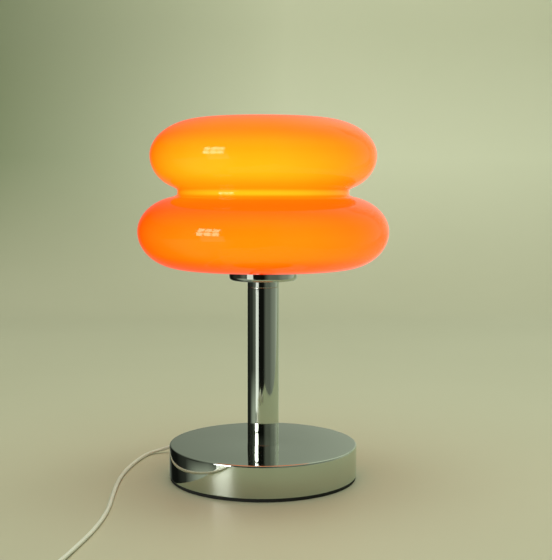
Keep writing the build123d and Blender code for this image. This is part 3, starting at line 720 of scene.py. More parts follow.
class Tools:
    """Geometry node trees that shape what is turned, ringed, lined up or threaded."""

    # How near two points of a turned piece's seam or pole are when they become one.
    SEAM = 2e-6

    def __init__(self) -> None:
        """Build every tree."""
        self.turned = self.make_turned()
        self.ring = self.make_ring()
        self.row = self.make_row()
        self.thread = self.make_thread()

    def finish_tree(self, graph: Graph, given: bpy.types.Node, made: bpy.types.Node, shape: object) -> None:
        """End a tree in real geometry with its material.

        Args:
            graph: the tree's graph.
            given: its input node.
            made: its output node.
            shape: the geometry's socket.
        """
        real = graph.add("GeometryNodeRealizeInstances", {"Geometry": shape})
        inputs = {"Geometry": real.outputs[0], "Material": given.outputs["Material"]}
        painted = graph.add("GeometryNodeSetMaterial", inputs)
        graph.feed(made.inputs["Geometry"], painted.outputs[0])

    def make_turned(self) -> bpy.types.NodeTree:
        """Turn an outline about the lamp's axis, with a slight waver and sharp edges kept.

        Returns:
            The tree.
        """
        graph, given, made = new_group(
            "turned_piece", "GeometryNodeTree",
            [
                ("Geometry", SHAPE, None), ("Segments", WHOLE, 128), ("Edge Angle", FLOAT, 0.6),
                ("Waver", FLOAT, 0.0), ("Waver Above", FLOAT, 0.0), ("Seed", FLOAT, 3.0),
                ("Material", "NodeSocketMaterial", None),
            ],
            [("Geometry", SHAPE)],
        )
        path = graph.add("GeometryNodeMeshToCurve", {"Mesh": given.outputs["Geometry"]})
        turn = {"Geometry": path.outputs[0], "Rotation": (math.pi / 2, 0, 0), "Translation": (-1.0, 0, 0)}
        laid = graph.add("GeometryNodeTransform", turn)
        inputs = {"Resolution": given.outputs["Segments"], "Radius": 1.0}
        circle = graph.add("GeometryNodeCurvePrimitiveCircle", inputs)
        inputs = {"Curve": circle.outputs[0], "Profile Curve": laid.outputs[0]}
        spun = graph.add("GeometryNodeCurveToMesh", inputs)
        inputs = {"Geometry": spun.outputs[0], "Distance": self.SEAM}
        merged = graph.add("GeometryNodeMergeByDistance", inputs)
        where = graph.add("GeometryNodeInputPosition").outputs[0]
        inputs = {"Vector": where, "Scale": 14.0, "Detail": 1.0}
        noise = graph.add("ShaderNodeTexNoise", inputs, noise_dimensions="4D")
        graph.feed(noise.inputs["W"], given.outputs["Seed"])
        centred = graph.math("SUBTRACT", noise.outputs["Fac"], 0.5)
        height = graph.add("ShaderNodeSeparateXYZ", {0: where}).outputs["Z"]
        above = graph.math("GREATER_THAN", height, given.outputs["Waver Above"])
        amount = graph.math("MULTIPLY", graph.math("MULTIPLY", centred, given.outputs["Waver"]), above)
        level = graph.vector("MULTIPLY", graph.vector("NORMALIZE", where).outputs[0], (1.0, 1.0, 0.0))
        shift = graph.add("ShaderNodeVectorMath", {0: level.outputs[0], "Scale": amount}, operation="SCALE")
        inputs = {"Geometry": merged.outputs[0], "Offset": shift.outputs[0]}
        moved = graph.add("GeometryNodeSetPosition", inputs)
        inputs = {"Geometry": moved.outputs[0], "Shade Smooth": True}
        smooth = graph.add("GeometryNodeSetShadeSmooth", inputs, domain="FACE")
        bend = graph.add("GeometryNodeInputMeshEdgeAngle").outputs["Unsigned Angle"]
        sharp = graph.math("GREATER_THAN", bend, given.outputs["Edge Angle"])
        inputs = {"Geometry": smooth.outputs[0], "Selection": sharp, "Shade Smooth": False}
        kept = graph.add("GeometryNodeSetShadeSmooth", inputs, domain="EDGE")
        self.finish_tree(graph, given, made, kept.outputs[0])
        return graph.tree

    def make_ring(self) -> bpy.types.NodeTree:
        """Copy a piece around the axis, its own place giving the first copy.

        Returns:
            The tree.
        """
        graph, given, made = new_group(
            "ring_of_copies", "GeometryNodeTree",
            [
                ("Geometry", SHAPE, None), ("Count", WHOLE, 3), ("Start", FLOAT, 0.0),
                ("Material", "NodeSocketMaterial", None),
            ],
            [("Geometry", SHAPE)],
        )
        points = graph.add("GeometryNodePoints", {"Count": given.outputs["Count"]})
        number = graph.add("GeometryNodeInputIndex").outputs[0]
        step = graph.math("DIVIDE", 2 * math.pi, given.outputs["Count"])
        angle = graph.math("ADD", graph.math("MULTIPLY", number, step), given.outputs["Start"])
        turn = graph.add("ShaderNodeCombineXYZ", {"Z": angle})
        inputs = {
            "Points": points.outputs[0], "Instance": given.outputs["Geometry"], "Rotation": turn.outputs[0],
        }
        copies = graph.add("GeometryNodeInstanceOnPoints", inputs)
        self.finish_tree(graph, given, made, copies.outputs[0])
        return graph.tree

    def make_row(self) -> bpy.types.NodeTree:
        """Copy a piece along a straight line.

        Returns:
            The tree.
        """
        graph, given, made = new_group(
            "row_of_copies", "GeometryNodeTree",
            [
                ("Geometry", SHAPE, None), ("Count", WHOLE, 3),
                ("Step", "NodeSocketVector", (0.01, 0, 0)), ("Material", "NodeSocketMaterial", None),
            ],
            [("Geometry", SHAPE)],
        )
        line = graph.add(
            "GeometryNodeMeshLine", {"Count": given.outputs["Count"], "Offset": given.outputs["Step"]}
        )
        inputs = {"Points": line.outputs[0], "Instance": given.outputs["Geometry"]}
        copies = graph.add("GeometryNodeInstanceOnPoints", inputs)
        self.finish_tree(graph, given, made, copies.outputs[0])
        return graph.tree

    def make_thread(self) -> bpy.types.NodeTree:
        """Wind a round ridge along a screw, over the given core.

        Returns:
            The tree.
        """
        graph, given, made = new_group(
            "screw_thread", "GeometryNodeTree",
            [
                ("Geometry", SHAPE, None), ("Turns", FLOAT, 5.0), ("Pitch", FLOAT, 0.00282),
                ("Radius", FLOAT, 0.006), ("Ridge", FLOAT, 0.0008), ("Bottom", FLOAT, 0.0),
                ("Material", "NodeSocketMaterial", None),
            ],
            [("Geometry", SHAPE)],
        )
        inputs = {
            "Resolution": 32, "Rotations": given.outputs["Turns"], "Start Radius": given.outputs["Radius"],
            "End Radius": given.outputs["Radius"],
            "Height": graph.math("MULTIPLY", given.outputs["Turns"], given.outputs["Pitch"]),
        }
        helix = graph.add("GeometryNodeCurveSpiral", inputs)
        lift = graph.add("ShaderNodeCombineXYZ", {"Z": given.outputs["Bottom"]})
        inputs = {"Geometry": helix.outputs[0], "Translation": lift.outputs[0]}
        raised = graph.add("GeometryNodeTransform", inputs)
        inputs = {"Resolution": 10, "Radius": given.outputs["Ridge"]}
        wire = graph.add("GeometryNodeCurvePrimitiveCircle", inputs)
        inputs = {"Curve": raised.outputs[0], "Profile Curve": wire.outputs[0], "Fill Caps": True}
        ridge = graph.add("GeometryNodeCurveToMesh", inputs)
        smooth = graph.add("GeometryNodeSetShadeSmooth", {"Geometry": ridge.outputs[0], "Shade Smooth": True})
        joined = graph.add("GeometryNodeJoinGeometry")
        graph.feed(joined.inputs[0], smooth.outputs[0])
        graph.feed(joined.inputs[0], given.outputs["Geometry"])
        self.finish_tree(graph, given, made, joined.outputs[0])
        return graph.tree

    def run(
        self, name: str, mesh: bpy.types.Mesh, tree: bpy.types.NodeTree, **values: object
    ) -> bpy.types.Object:
        """Run a tree on a mesh and keep the result as a plain mesh.

        Args:
            name: the finished piece's name.
            mesh: what goes in.
            tree: the geometry node tree.
            **values: its inputs, with underscores for spaces.

        Returns:
            The finished piece.
        """
        source = link_object(name + "_source", mesh)
        modifier = source.modifiers.new(tree.name, "NODES")
        modifier.node_group = tree
        given = [item for item in tree.interface.items_tree if item.in_out == "INPUT"]
        sockets = {item.name: item.identifier for item in given}
        for label, value in values.items():
            modifier[sockets[label.replace("_", " ")]] = value
        return bake(source, name)


def bake(source: bpy.types.Object, name: str) -> bpy.types.Object:
    """Turn an object with modifiers into a plain mesh whose faces point outwards.

    Args:
        source: the object, removed afterwards.
        name: the finished piece's name.

    Returns:
        The finished piece.
    """
    graph = bpy.context.evaluated_depsgraph_get()
    graph.update()
    shaped = source.evaluated_get(graph)
    mesh = bpy.data.meshes.new_from_object(shaped, preserve_all_data_layers=True, depsgraph=graph)
    mesh.name = name
    bpy.data.objects.remove(source)
    if signed_volume(mesh) < 0:
        mesh.flip_normals()
    return link_object(name, mesh)


def signed_volume(mesh: bpy.types.Mesh) -> float:
    """Volume inside a closed mesh, below zero where it is inside out."""
    shape = bmesh.new()
    shape.from_mesh(mesh)
    volume = shape.calc_volume(signed=True)
    shape.free()
    return volume


def cord_exit(distance: float) -> Matrix:
    """Place on the cord's way out of the base, with its Z axis pointing outwards.

    Args:
        distance: how far it is from the lamp's axis, in millimetres.

    Returns:
        The place.
    """
    turn = CORD_WAY.to_track_quat("Z", "Y").to_matrix().to_4x4()
    return Matrix.Translation(CORD_WAY * distance * MM + Vector((0.0, 0.0, CORD_HEIGHT))) @ turn


def rounded_block(low: Point, high: Point, rounding: float, steps: int = 3) -> bpy.types.Mesh:
    """Make a block with every edge rounded.

    Args:
        low: lowest corner.
        high: highest corner.
        rounding: radius of its edges.
        steps: pieces of each rounding.

    Returns:
        The mesh.
    """
    shape = bmesh.new()
    bmesh.ops.create_cube(shape, size=1.0)
    for corner in shape.verts:
        for axis in range(3):
            corner.co[axis] = high[axis] if corner.co[axis] > 0 else low[axis]
    edges = list(shape.edges)
    bmesh.ops.bevel(shape, geom=edges, offset=rounding, segments=steps, profile=0.5, affect="EDGES")
    for face in shape.faces:
        face.smooth = True
    mesh = bpy.data.meshes.new("block")
    shape.to_mesh(mesh)
    shape.free()
    return mesh


@dataclass
class SubAssembly:
    """What every sub-assembly of the lamp needs to build and dress its pieces."""

    tools: Tools
    paint: Paint

    def turned(
        self, name: str, outline: Outline, slot: Slot, closed: bool = True, **values: object
    ) -> bpy.types.Object:
        """Turn an outline into a piece.

        Args:
            name: the piece's name.
            outline: its half outline.
            slot: its finish.
            closed: whether the outline comes back to its start.
            **values: further inputs of the turning tree.

        Returns:
            The piece.
        """
        points = [(radius, 0.0, height) for radius, height in outline.points]
        edges = [(number, number + 1) for number in range(len(points) - 1)]
        if closed:
            edges.append((len(points) - 1, 0))
        profile = bare_mesh(name + "_outline", points, edges)
        return self.tools.run(name, profile, self.tools.turned, Material=self.paint.of(slot), **values)

    def settle(self, piece: bpy.types.Object, body: str, slot: Slot, *nodes: str) -> bpy.types.Object:
        """Tie a finished piece to its body, its slot and the parts it stands for.

        Args:
            piece: the finished piece.
            body: the body that it moves with.
            slot: its finish.
            *nodes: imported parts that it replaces.

        Returns:
            The piece.
        """
        if not piece.data.materials:
            piece.data.materials.append(self.paint.of(slot))
        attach(piece, body)
        if nodes:
            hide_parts(*nodes)
        log.info("%s rides on %s", piece.name, body)
        return piece


# ---------------------------------------------------------------- studio


class Fade(NamedTuple):
    """A level that changes between two places: where it starts and ends, and the level at each."""

    low: float
    high: float
    start: float
    end: float


class FloorEdge(NamedTuple):
    """A straight edge of the floor: past it, across * X + along * Y is below the limit."""

    across: float
    along: float
    limit: float


@dataclass(frozen=True)
class Panel:
    """One rectangular light. A mirrored one only shows in shiny pieces; the others light the room."""

    name: str
    place: Point
    aim: Point
    width: float
    height: float
    radiance: float
    tint: Colour
    mirrored: bool = True

    def hang(self) -> None:
        """Make the light, with the energy that gives its face the radiance."""
        data = bpy.data.lights.new(self.name, "AREA")
        data.shape = "RECTANGLE"
        data.size = self.width
        data.size_y = self.height
        data.energy = self.radiance * math.pi * self.width * self.height
        data.color = self.tint
        light = link_object(self.name, data)
        way = Vector(self.aim) - Vector(self.place)
        light.rotation_euler = way.to_track_quat("-Z", "Y").to_euler()
        light.location = self.place
        light.visible_glossy = self.mirrored
        light.visible_diffuse = not self.mirrored


@dataclass(frozen=True)
class Window:
    """A window of equal panes with dark bars between them, which shiny pieces mirror."""

    middle: Point = (-1.50, -1.30, 0.58)
    aim: Point = (0.0, 0.0, 0.25)
    columns: int = 3
    rows: int = 2
    pane_width: float = 0.22
    pane_height: float = 0.38
    upright_bar: float = 0.04
    level_bar: float = 0.08
    radiance: float = 13.0
    tint: Colour = (0.97, 1.0, 0.92)

    def panes(self) -> list[Panel]:
        """Set the panes side by side and one above the other.

        Returns:
            Each pane as a light.
        """
        middle = Vector(self.middle)
        way = (Vector(self.aim) - middle).normalized()
        across = way.cross(Vector((0.0, 0.0, 1.0))).normalized()
        panes = []
        for column in range(self.columns):
            for row in range(self.rows):
                aside = across * (column - (self.columns - 1) / 2) * (self.pane_width + self.upright_bar)
                up = (row - (self.rows - 1) / 2) * (self.pane_height + self.level_bar)
                place = middle + aside + Vector((0.0, 0.0, up))
                panes.append(Panel(
                    f"window_{column}_{row}", tuple(place), tuple(place + way), self.pane_width,
                    self.pane_height, self.radiance, self.tint,
                ))
        return panes


@dataclass(frozen=True)
class SweepPaint:
    """Pale paint on the floor and the wall, with painted shade on the wall's left and painted reflections.
    Mirrors see the floor end near the lamp, as a small table.
    """

    floor: tuple[Colour, Colour] = ((0.51, 0.51, 0.38), (0.55, 0.55, 0.42))
    wall: tuple[Colour, Colour] = ((0.76, 0.80, 0.62), (0.80, 0.83, 0.66))
    # Painted shade: the wall's dark colour towards -X.
    painted_wall_shade: Colour = (0.27, 0.32, 0.19)
    # Painted reflections: colours that only glossy rays see, a darker floor and a wall dark on the left and
    # bright on the right.
    painted_floor_reflection: Colour = (0.44, 0.49, 0.34)
    painted_wall_reflection: tuple[Colour, Colour] = ((0.25, 0.34, 0.20), (0.86, 1.0, 0.84))
    wall_start: Fade = Fade(0.0, 0.3, 0.0, 1.0)
    shade_end: Fade = Fade(-0.65, 0.05, 0.0, 1.0)
    painted_reflection_shade_end: Fade = Fade(-0.25, 0.15, 0.0, 1.0)
    roughness: float = 0.48
    edges: tuple[FloorEdge, ...] = (
        FloorEdge(0.547, 1.0, -0.344),
        FloorEdge(-1.1, 1.0, -0.467),
        FloorEdge(0.873, -0.487, -0.052),
    )

    def material(self) -> bpy.types.Material:
        """Build the paint, with its painted shade and painted reflections, clear to mirrors past the floor's
        edges.

        Returns:
            The material.
        """
        material = bpy.data.materials.new("pale_sweep")
        material.use_nodes = True
        graph = Graph(material.node_tree)
        shader = material.node_tree.nodes["Principled BSDF"]
        output = material.node_tree.nodes["Material Output"]
        place = graph.add("ShaderNodeTexCoord").outputs["Object"]
        parts = graph.add("ShaderNodeSeparateXYZ", {0: place})
        drift = graph.add("ShaderNodeTexNoise", {"Vector": place, "Scale": 3.0, "Detail": 3.0}).outputs["Fac"]
        mirror = graph.add("ShaderNodeLightPath").outputs["Is Glossy Ray"]
        # Glossy rays see the floor's painted reflection colour.
        table = graph.blend(mirror, graph.blend(drift, *self.floor), self.painted_floor_reflection)
        lit_share = graph.span(parts.outputs["X"], *self.shade_end)
        # Painted shade: the wall is blended to its dark colour towards -X.
        lit_wall = graph.blend(drift, *self.wall)
        shown = graph.blend(lit_share, self.painted_wall_shade, lit_wall)
        # Painted reflection: in mirrors the wall goes from dark on the left to bright on the right.
        reflection_shade_share = graph.span(parts.outputs["X"], *self.painted_reflection_shade_end)
        upper = graph.blend(mirror, shown, graph.blend(reflection_shade_share, *self.painted_wall_reflection))
        upright = graph.span(parts.outputs["Z"], *self.wall_start)
        graph.feed(shader.inputs["Base Color"], graph.blend(upright, table, upper))
        shader.inputs["Roughness"].default_value = self.roughness
        clear = graph.add("ShaderNodeBsdfTransparent")
        unseen = graph.math("MULTIPLY", self.past_edges(graph, parts), mirror)
        mix = graph.add("ShaderNodeMixShader", {0: unseen})
        graph.feed(mix.inputs[1], shader.outputs[0])
        graph.feed(mix.inputs[2], clear.outputs[0])
        graph.feed(output.inputs["Surface"], mix.outputs[0])
        return material

    def past_edges(self, graph: Graph, parts: bpy.types.Node) -> bpy.types.NodeSocket:
        """Tell what lies past any of the floor's edges.

        Args:
            graph: the material's graph.
            parts: the place's separated X, Y and Z.

        Returns:
            A socket that is 1 past an edge and 0 before them all.
        """
        beyond = []
        for edge in self.edges:
            across = graph.math("MULTIPLY", parts.outputs["X"], edge.across)
            along = graph.math("MULTIPLY", parts.outputs["Y"], edge.along)
            beyond.append(graph.math("LESS_THAN", graph.math("ADD", across, along), edge.limit))
        first, second, third = beyond
        return graph.math("MAXIMUM", graph.math("MAXIMUM", first, second), third)


@dataclass(frozen=True)
class Room:
    """The room's light by direction: dim in front, lighter behind, above and on the right."""

    back: Fade = Fade(0.0, 0.6, 0.0, 0.45)
    back_opening: Fade = Fade(-0.5, 0.2, 0.0, 1.0)
    right: Fade = Fade(0.04, 0.34, 0.0, 0.15)
    far_right: Fade = Fade(0.75, 1.0, 0.0, 0.16)
    far_left: Fade = Fade(-0.92, -0.75, 0.15, 0.0)
    far_left_front: Fade = Fade(-0.35, -0.05, 1.0, 0.2)
    low: Fade = Fade(-0.24, -0.17, 1.0, 0.0)
    low_front: Fade = Fade(-0.05, 0.3, 0.34, 0.0)
    low_left: Fade = Fade(-0.6, -0.4, 1.0, 0.0)
    above: Fade = Fade(0.3, 0.95, 0.0, 0.35)
    least: float = 0.008
    seen_level: float = 0.62
    tint: Colour = (0.88, 1.0, 0.76)

    def build(self) -> None:
        """Make the world that gives this light, plain and pale where it is seen past the wall."""
        world = bpy.data.worlds.new("room")
        world.use_nodes = True
        bpy.context.scene.world = world
        graph = Graph(world.node_tree)
        background = world.node_tree.nodes["Background"]
        way = graph.add("ShaderNodeSeparateXYZ", {0: graph.add("ShaderNodeTexCoord").outputs["Generated"]})
        x, y, z = (way.outputs[axis] for axis in "XYZ")
        back = graph.math("MULTIPLY", graph.span(y, *self.back), graph.span(x, *self.back_opening))
        left = graph.math("MULTIPLY", graph.span(x, *self.far_left), graph.span(y, *self.far_left_front))
        low_front = graph.math("MULTIPLY", graph.span(y, *self.low_front), graph.span(z, *self.low))
        low_side = graph.math("MULTIPLY", low_front, graph.span(x, *self.low_left))
        right = graph.math("ADD", graph.span(x, *self.right), graph.span(x, *self.far_right))
        sides = graph.math("ADD", right, graph.math("ADD", left, low_side))
        above = graph.math("ADD", graph.span(z, *self.above), self.least)
        level = graph.math("ADD", graph.math("ADD", back, sides), above)
        seen = graph.add("ShaderNodeLightPath").outputs["Is Camera Ray"]
        shown = graph.add("ShaderNodeMix", {0: seen, 2: level, 3: self.seen_level})
        graph.feed(background.inputs["Color"], self.tint)
        graph.feed(background.inputs["Strength"], shown.outputs[0])


@dataclass
class Studio:
    """Floor, backdrop, lights and camera."""

    camera_place: Point = (0.0, -0.850, 0.2311)
    pitch: float = 4.867
    yaw: float = 0.683
    roll: float = 0.125
    lens: float = 68.95
    frame_height: float = 36.0
    wall_y: float = 1.6
    bend: float = 0.6
    bend_steps: int = 24
    half_width: float = 5.0
    wall_height: float = 2.2
    front: float = -5.0
    panels: tuple[Panel, ...] = (
        Panel("overhead", (0.0, -0.2, 2.0), (0.0, 0.0, 0.0), 2.6, 2.2, 1.25, (1.0, 0.98, 0.86), False),
        Panel("wall_wash", (0.2, 0.3, 2.3), (0.2, 1.6, 0.5), 1.8, 1.0, 3.0, (1.0, 1.0, 0.86), False),
        Panel("window_sill", (-1.45, -1.45, -0.17), (0.0, 0.0, 0.10), 0.8, 0.6, 1.1, (0.95, 1.0, 0.9)),
    )

    def build(self) -> None:
        """Make the camera first, then what surrounds the lamp."""
        self.make_camera()
        self.make_sweep()
        Room().build()
        for panel in (*self.panels, *Window().panes()):
            panel.hang()
        bpy.context.scene.view_settings.view_transform = "Standard"

    def make_camera(self) -> None:
        """Place the camera at its distance, height and tilt."""
        data = bpy.data.cameras.new("camera")
        data.sensor_fit = "VERTICAL"
        data.sensor_height = self.frame_height
        data.lens = self.lens
        camera = link_object("camera", data)
        turn = Matrix.Rotation(math.radians(-self.yaw), 4, "Z")
        tilt = Matrix.Rotation(math.radians(90 - self.pitch), 4, "X")
        lean = Matrix.Rotation(math.radians(self.roll), 4, "Z")
        camera.matrix_world = Matrix.Translation(self.camera_place) @ turn @ tilt @ lean
        bpy.context.scene.camera = camera

    def make_sweep(self) -> None:
        """Make the floor that curves up into the backdrop."""
        rows = [(self.front, 0.0), (0.0, 0.0)]
        centre_y = self.wall_y - self.bend
        for number in range(self.bend_steps + 1):
            angle = math.radians(90 * number / self.bend_steps)
            rows.append((centre_y + self.bend * math.sin(angle), self.bend * (1 - math.cos(angle))))
        rows.append((self.wall_y, self.wall_height))
        points = [(side * self.half_width, y, z) for y, z in rows for side in (-1, 1)]
        faces = [(2 * n, 2 * n + 1, 2 * n + 3, 2 * n + 2) for n in range(len(rows) - 1)]
        sweep = link_object("sweep", bare_mesh("sweep", points, [], faces))
        for polygon in sweep.data.polygons:
            polygon.use_smooth = True
        sweep.data.materials.append(SweepPaint().material())


# ---------------------------------------------------------------- cord


@dataclass
class CordSet(SubAssembly):
    """The thin lead with its strain relief, switch, coil and plug."""

    radius: float = 1.5 * MM
    length: float = 1.775
    coil_centre: tuple[float, float] = (-93.0, -258.0)
    coil_radii: tuple[float, ...] = (20.0, 17.0, 14.0)
    coil_layers: int = 4
    layer_height: float = 3.0
    first_layer: float = 2.5
    coil_start: float = -44.0
    turn_points: int = 24
    relief_distance: float = 73.1
    relief_segments: int = 48
    grip_edge: float = 1.4 * MM
    rib_count: int = 5
    rib_step: float = 2.0 * MM
    rib_first: float = 4.0 * MM
    rib_width: float = 1.0 * MM
    rib_inset: float = 2.0 * MM
    rib_sunk: float = 0.3 * MM
    rib_proud: float = 0.25 * MM
    rib_edge: float = 0.2 * MM
    strap_thickness: float = 0.9 * MM
    strap_corner: float = 2.2 * MM
    strap_edge: float = 0.25 * MM
    free_route: tuple[Point, ...] = (
        (-68.6, 68.6, 9.2),
        (-73.5, 73.5, 7.9),
        (-80.2, 76.2, 5.6),
        (-88.2, 75.9, 3.2),
        (-95.9, 71.6, 1.9),
        (-101.4, 63.4, 1.5),
        (-104.9, 51.0, 1.5),
        (-108.7, 34.0, 1.5),
        (-112.5, 10.0, 1.5),
        (-114.4, -22.0, 1.5),
        (-112.9, -61.0, 1.5),
        (-110.8, -100.0, 1.5),
        (-113.5, -140.0, 1.5),
        (-120.0, -177.0, 1.5),
        (-125.5, -207.0, 2.1),
        (-126.5, -230.0, 5.5),
    )
    link_route: tuple[Point, ...] = (
        (-126.5, -274.0, 5.5),
        (-125.9, -281.6, 4.2),
        (-121.4, -289.8, 3.0),
        (-113.2, -295.2, 2.5),
        (-102.9, -295.8, 2.5),
        (-92.6, -292.2, 2.5),
        (-84.6, -281.8, 2.5),
        (-78.5, -271.8, 2.5),
    )
    tail_route: tuple[Point, ...] = (
        (-98.0, -275.2, 11.5),
        (-88.0, -275.5, 10.9),
        (-78.0, -274.8, 7.8),
        (-67.0, -272.6, 4.7),
        (-56.0, -272.0, 4.0),
    )

    def build(self) -> None:
        """Make the lead and the pieces on it."""
        cord = self.make_cord()
        pieces = self.make_plug() + [self.make_tie()]
        self.make_relief()

    def coil_route(self) -> list[Point]:
        """Points of the coil's turns, round and round, in and out, layer on layer.

        Returns:
            The points in millimetres.
        """
        count = self.turn_points
        step = 2 * math.pi / count
        # The smooth line passes a little inside its points: here by so much at and between its joints.
        at_joint, between = math.cos(step / 2), 0.75 + 0.25 * math.cos(step)
        outward = 2 / (at_joint + between)
        order = []
        for layer in range(self.coil_layers):
            radii = self.coil_radii if layer % 2 == 0 else tuple(reversed(self.coil_radii))
            order += [(radius, self.first_layer + layer * self.layer_height) for radius in radii]
        start = math.radians(self.coil_start) + step
        change = count // 4
        points = []
        for number in range(len(order) * count - change):
            turn, place = divmod(number, count)
            radius, height = order[turn]
            if place >= count - change and turn + 1 < len(order):
                share = (place - count + change + 1) / (change + 1)
                after_radius, after_height = order[turn + 1]
                radius += (after_radius - radius) * share
                height += (after_height - height) * share
            angle = start + number * step
            x = self.coil_centre[0] + radius * outward * math.cos(angle)
            y = self.coil_centre[1] + radius * outward * math.sin(angle)
            points.append((x, y, height))
        return points

    def make_cord(self) -> bpy.types.Object:
        """Make the whole lead as one smooth spline.

        Returns:
            The cord's curve object.
        """
        points = [*self.free_route, *self.link_route, *self.coil_route(), *self.tail_route]
        data = bpy.data.curves.new("cord_line", "CURVE")
        data.dimensions = "3D"
        data.bevel_depth = self.radius
        data.bevel_resolution = 4
        data.use_fill_caps = True
        spline = data.splines.new("NURBS")
        spline.points.add(len(points) - 1)
        for item, point in zip(spline.points, points):
            item.co = (*(value * MM for value in point), 1.0)
        spline.order_u = 3
        spline.use_endpoint_u = True
        spline.resolution_u = 6
        data.materials.append(self.paint.of(Slot.CORD))
        cord = link_object("lamp_cord", data)
        return self.settle(cord, "lamp", Slot.CORD, "cord", "cord_link", "cord_tail", "cord_coil")

    def make_relief(self) -> bpy.types.Object:
        """Make the ribbed strain relief where the cord leaves the base.

        Returns:
            The relief.
        """
        reach, root, tip, flange, back = 22.0 * MM, 4.0 * MM, 2.2 * MM, 4.9 * MM, -1.5 * MM
        inside = self.radius + 0.05 * MM
        outline = Outline().to(inside, back).to(flange, back).to(flange, 0.0).to(root, 0.0)
        ribs, start, gap, chamfer, groove = 6, 5.0 * MM, 1.3 * MM, 0.15 * MM, 0.4 * MM
        for number in range(ribs):
            low = start + number * 2 * gap
            high = low + gap
            for height, depth in ((low, 0.0), (low + chamfer, groove), (high - chamfer, groove), (high, 0.0)):
                wall = root + (tip - root) * height / reach
                outline.to(wall - depth, height)
        outline.to(tip + 0.2 * MM, reach - 0.5 * MM).to(tip - 0.1 * MM, reach).to(inside, reach)
        relief = self.turned("cord_relief", outline, Slot.WHITE_PLASTIC, Segments=self.relief_segments)
        relief.data.transform(cord_exit(self.relief_distance))
        return self.settle(relief, "lamp", Slot.WHITE_PLASTIC, "cord_bushing")

    def make_plug(self) -> list[bpy.types.Object]:
        """Make the plug's grip with its ribs and its own small relief.

        Returns:
            The pieces.
        """
        low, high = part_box("plug_body")
        grip = link_object("plug_grip", rounded_block(tuple(low), tuple(high), self.grip_edge, 4))
        self.settle(grip, "lamp", Slot.WHITE_PLASTIC, "plug_body")
        rib_low = (low.x + self.rib_first, low.y + self.rib_inset, high.z - self.rib_sunk)
        rib_end = low.x + self.rib_first + self.rib_width
        rib_high = (rib_end, high.y - self.rib_inset, high.z + self.rib_proud)
        rib = rounded_block(rib_low, rib_high, self.rib_edge, 2)
        ribs = self.tools.run(
            "plug_ribs", rib, self.tools.row, Count=self.rib_count, Step=(self.rib_step, 0.0, 0.0),
            Material=self.paint.of(Slot.WHITE_PLASTIC),
        )
        self.settle(ribs, "lamp", Slot.WHITE_PLASTIC)
        near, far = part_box("plug_relief")
        reach = far.x - near.x
        grooves, first, step, depth = 4, 0.16, 0.2, 0.45 * MM
        outline = Outline().to(self.radius, 0.0).to(2.0 * MM, 0.0)
        for number in range(grooves):
            start = reach * (first + step * number)
            wall = 2.2 * MM + (number + 1) * 0.24 * MM
            outline.to(wall, start).to(wall - depth, start + 0.2 * MM)
            outline.to(wall - 0.4 * MM, start + 1.1 * MM).to(wall + 0.1 * MM, start + 1.3 * MM)
        outline.to(3.2 * MM, reach).to(self.radius, reach)
        relief = self.turned("plug_strain_relief", outline, Slot.WHITE_PLASTIC, Segments=32)
        centre = Vector((near.x, (near.y + far.y) / 2, (near.z + far.z) / 2))
        relief.data.transform(Matrix.Translation(centre) @ Matrix.Rotation(math.pi / 2, 4, "Y"))
        self.settle(relief, "lamp", Slot.WHITE_PLASTIC, "plug_relief")
        return [grip, ribs, relief]

    def make_tie(self) -> bpy.types.Object:
        """Make the strap round the coil as a soft rounded loop.

        Returns:
            The strap.
        """
        low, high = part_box("coil_tie")
        middle_x, middle_z = (low.x + high.x) / 2, (low.z + high.z) / 2
        half_x, half_z = (high.x - low.x) / 2, (high.z - low.z) / 2
        corner, corner_steps = self.strap_corner, 6
        loop = []
        for number, (side_x, side_z) in enumerate(((1, 1), (-1, 1), (-1, -1), (1, -1))):
            for step in range(corner_steps + 1):
                angle = math.radians(90 * number + 90 * step / corner_steps)
                x = middle_x + side_x * (half_x - corner) + corner * math.cos(angle)
                z = middle_z + side_z * (half_z - corner) + corner * math.sin(angle)
                loop.append((x, z))
        shrink_x, shrink_z = 1 - self.strap_thickness / half_x, 1 - self.strap_thickness / half_z
        inner = [
            (middle_x + (x - middle_x) * shrink_x, middle_z + (z - middle_z) * shrink_z) for x, z in loop
        ]
        rings = ((loop, low.y), (loop, high.y), (inner, high.y), (inner, low.y))
        points = [(x, y, z) for ring, y in rings for x, z in ring]
        faces, count = [], len(loop)
        for band in range(len(rings)):
            here, there = band * count, (band + 1) % len(rings) * count
            for number in range(count):
                on = (number + 1) % count
                faces.append((here + number, here + on, there + on, there + number))
        strap = link_object("coil_strap", bare_mesh("coil_strap", points, [], faces))
        bevel = strap.modifiers.new("soft_edges", "BEVEL")
        bevel.width = self.strap_edge
        bevel.segments = 2
        bevel.limit_method = "ANGLE"
        strap = bake(strap, "coil_strap")
        for polygon in strap.data.polygons:
            polygon.use_smooth = True
        return self.settle(strap, "lamp", Slot.STRAP, "coil_tie")


# ---------------------------------------------------------------- metalwork


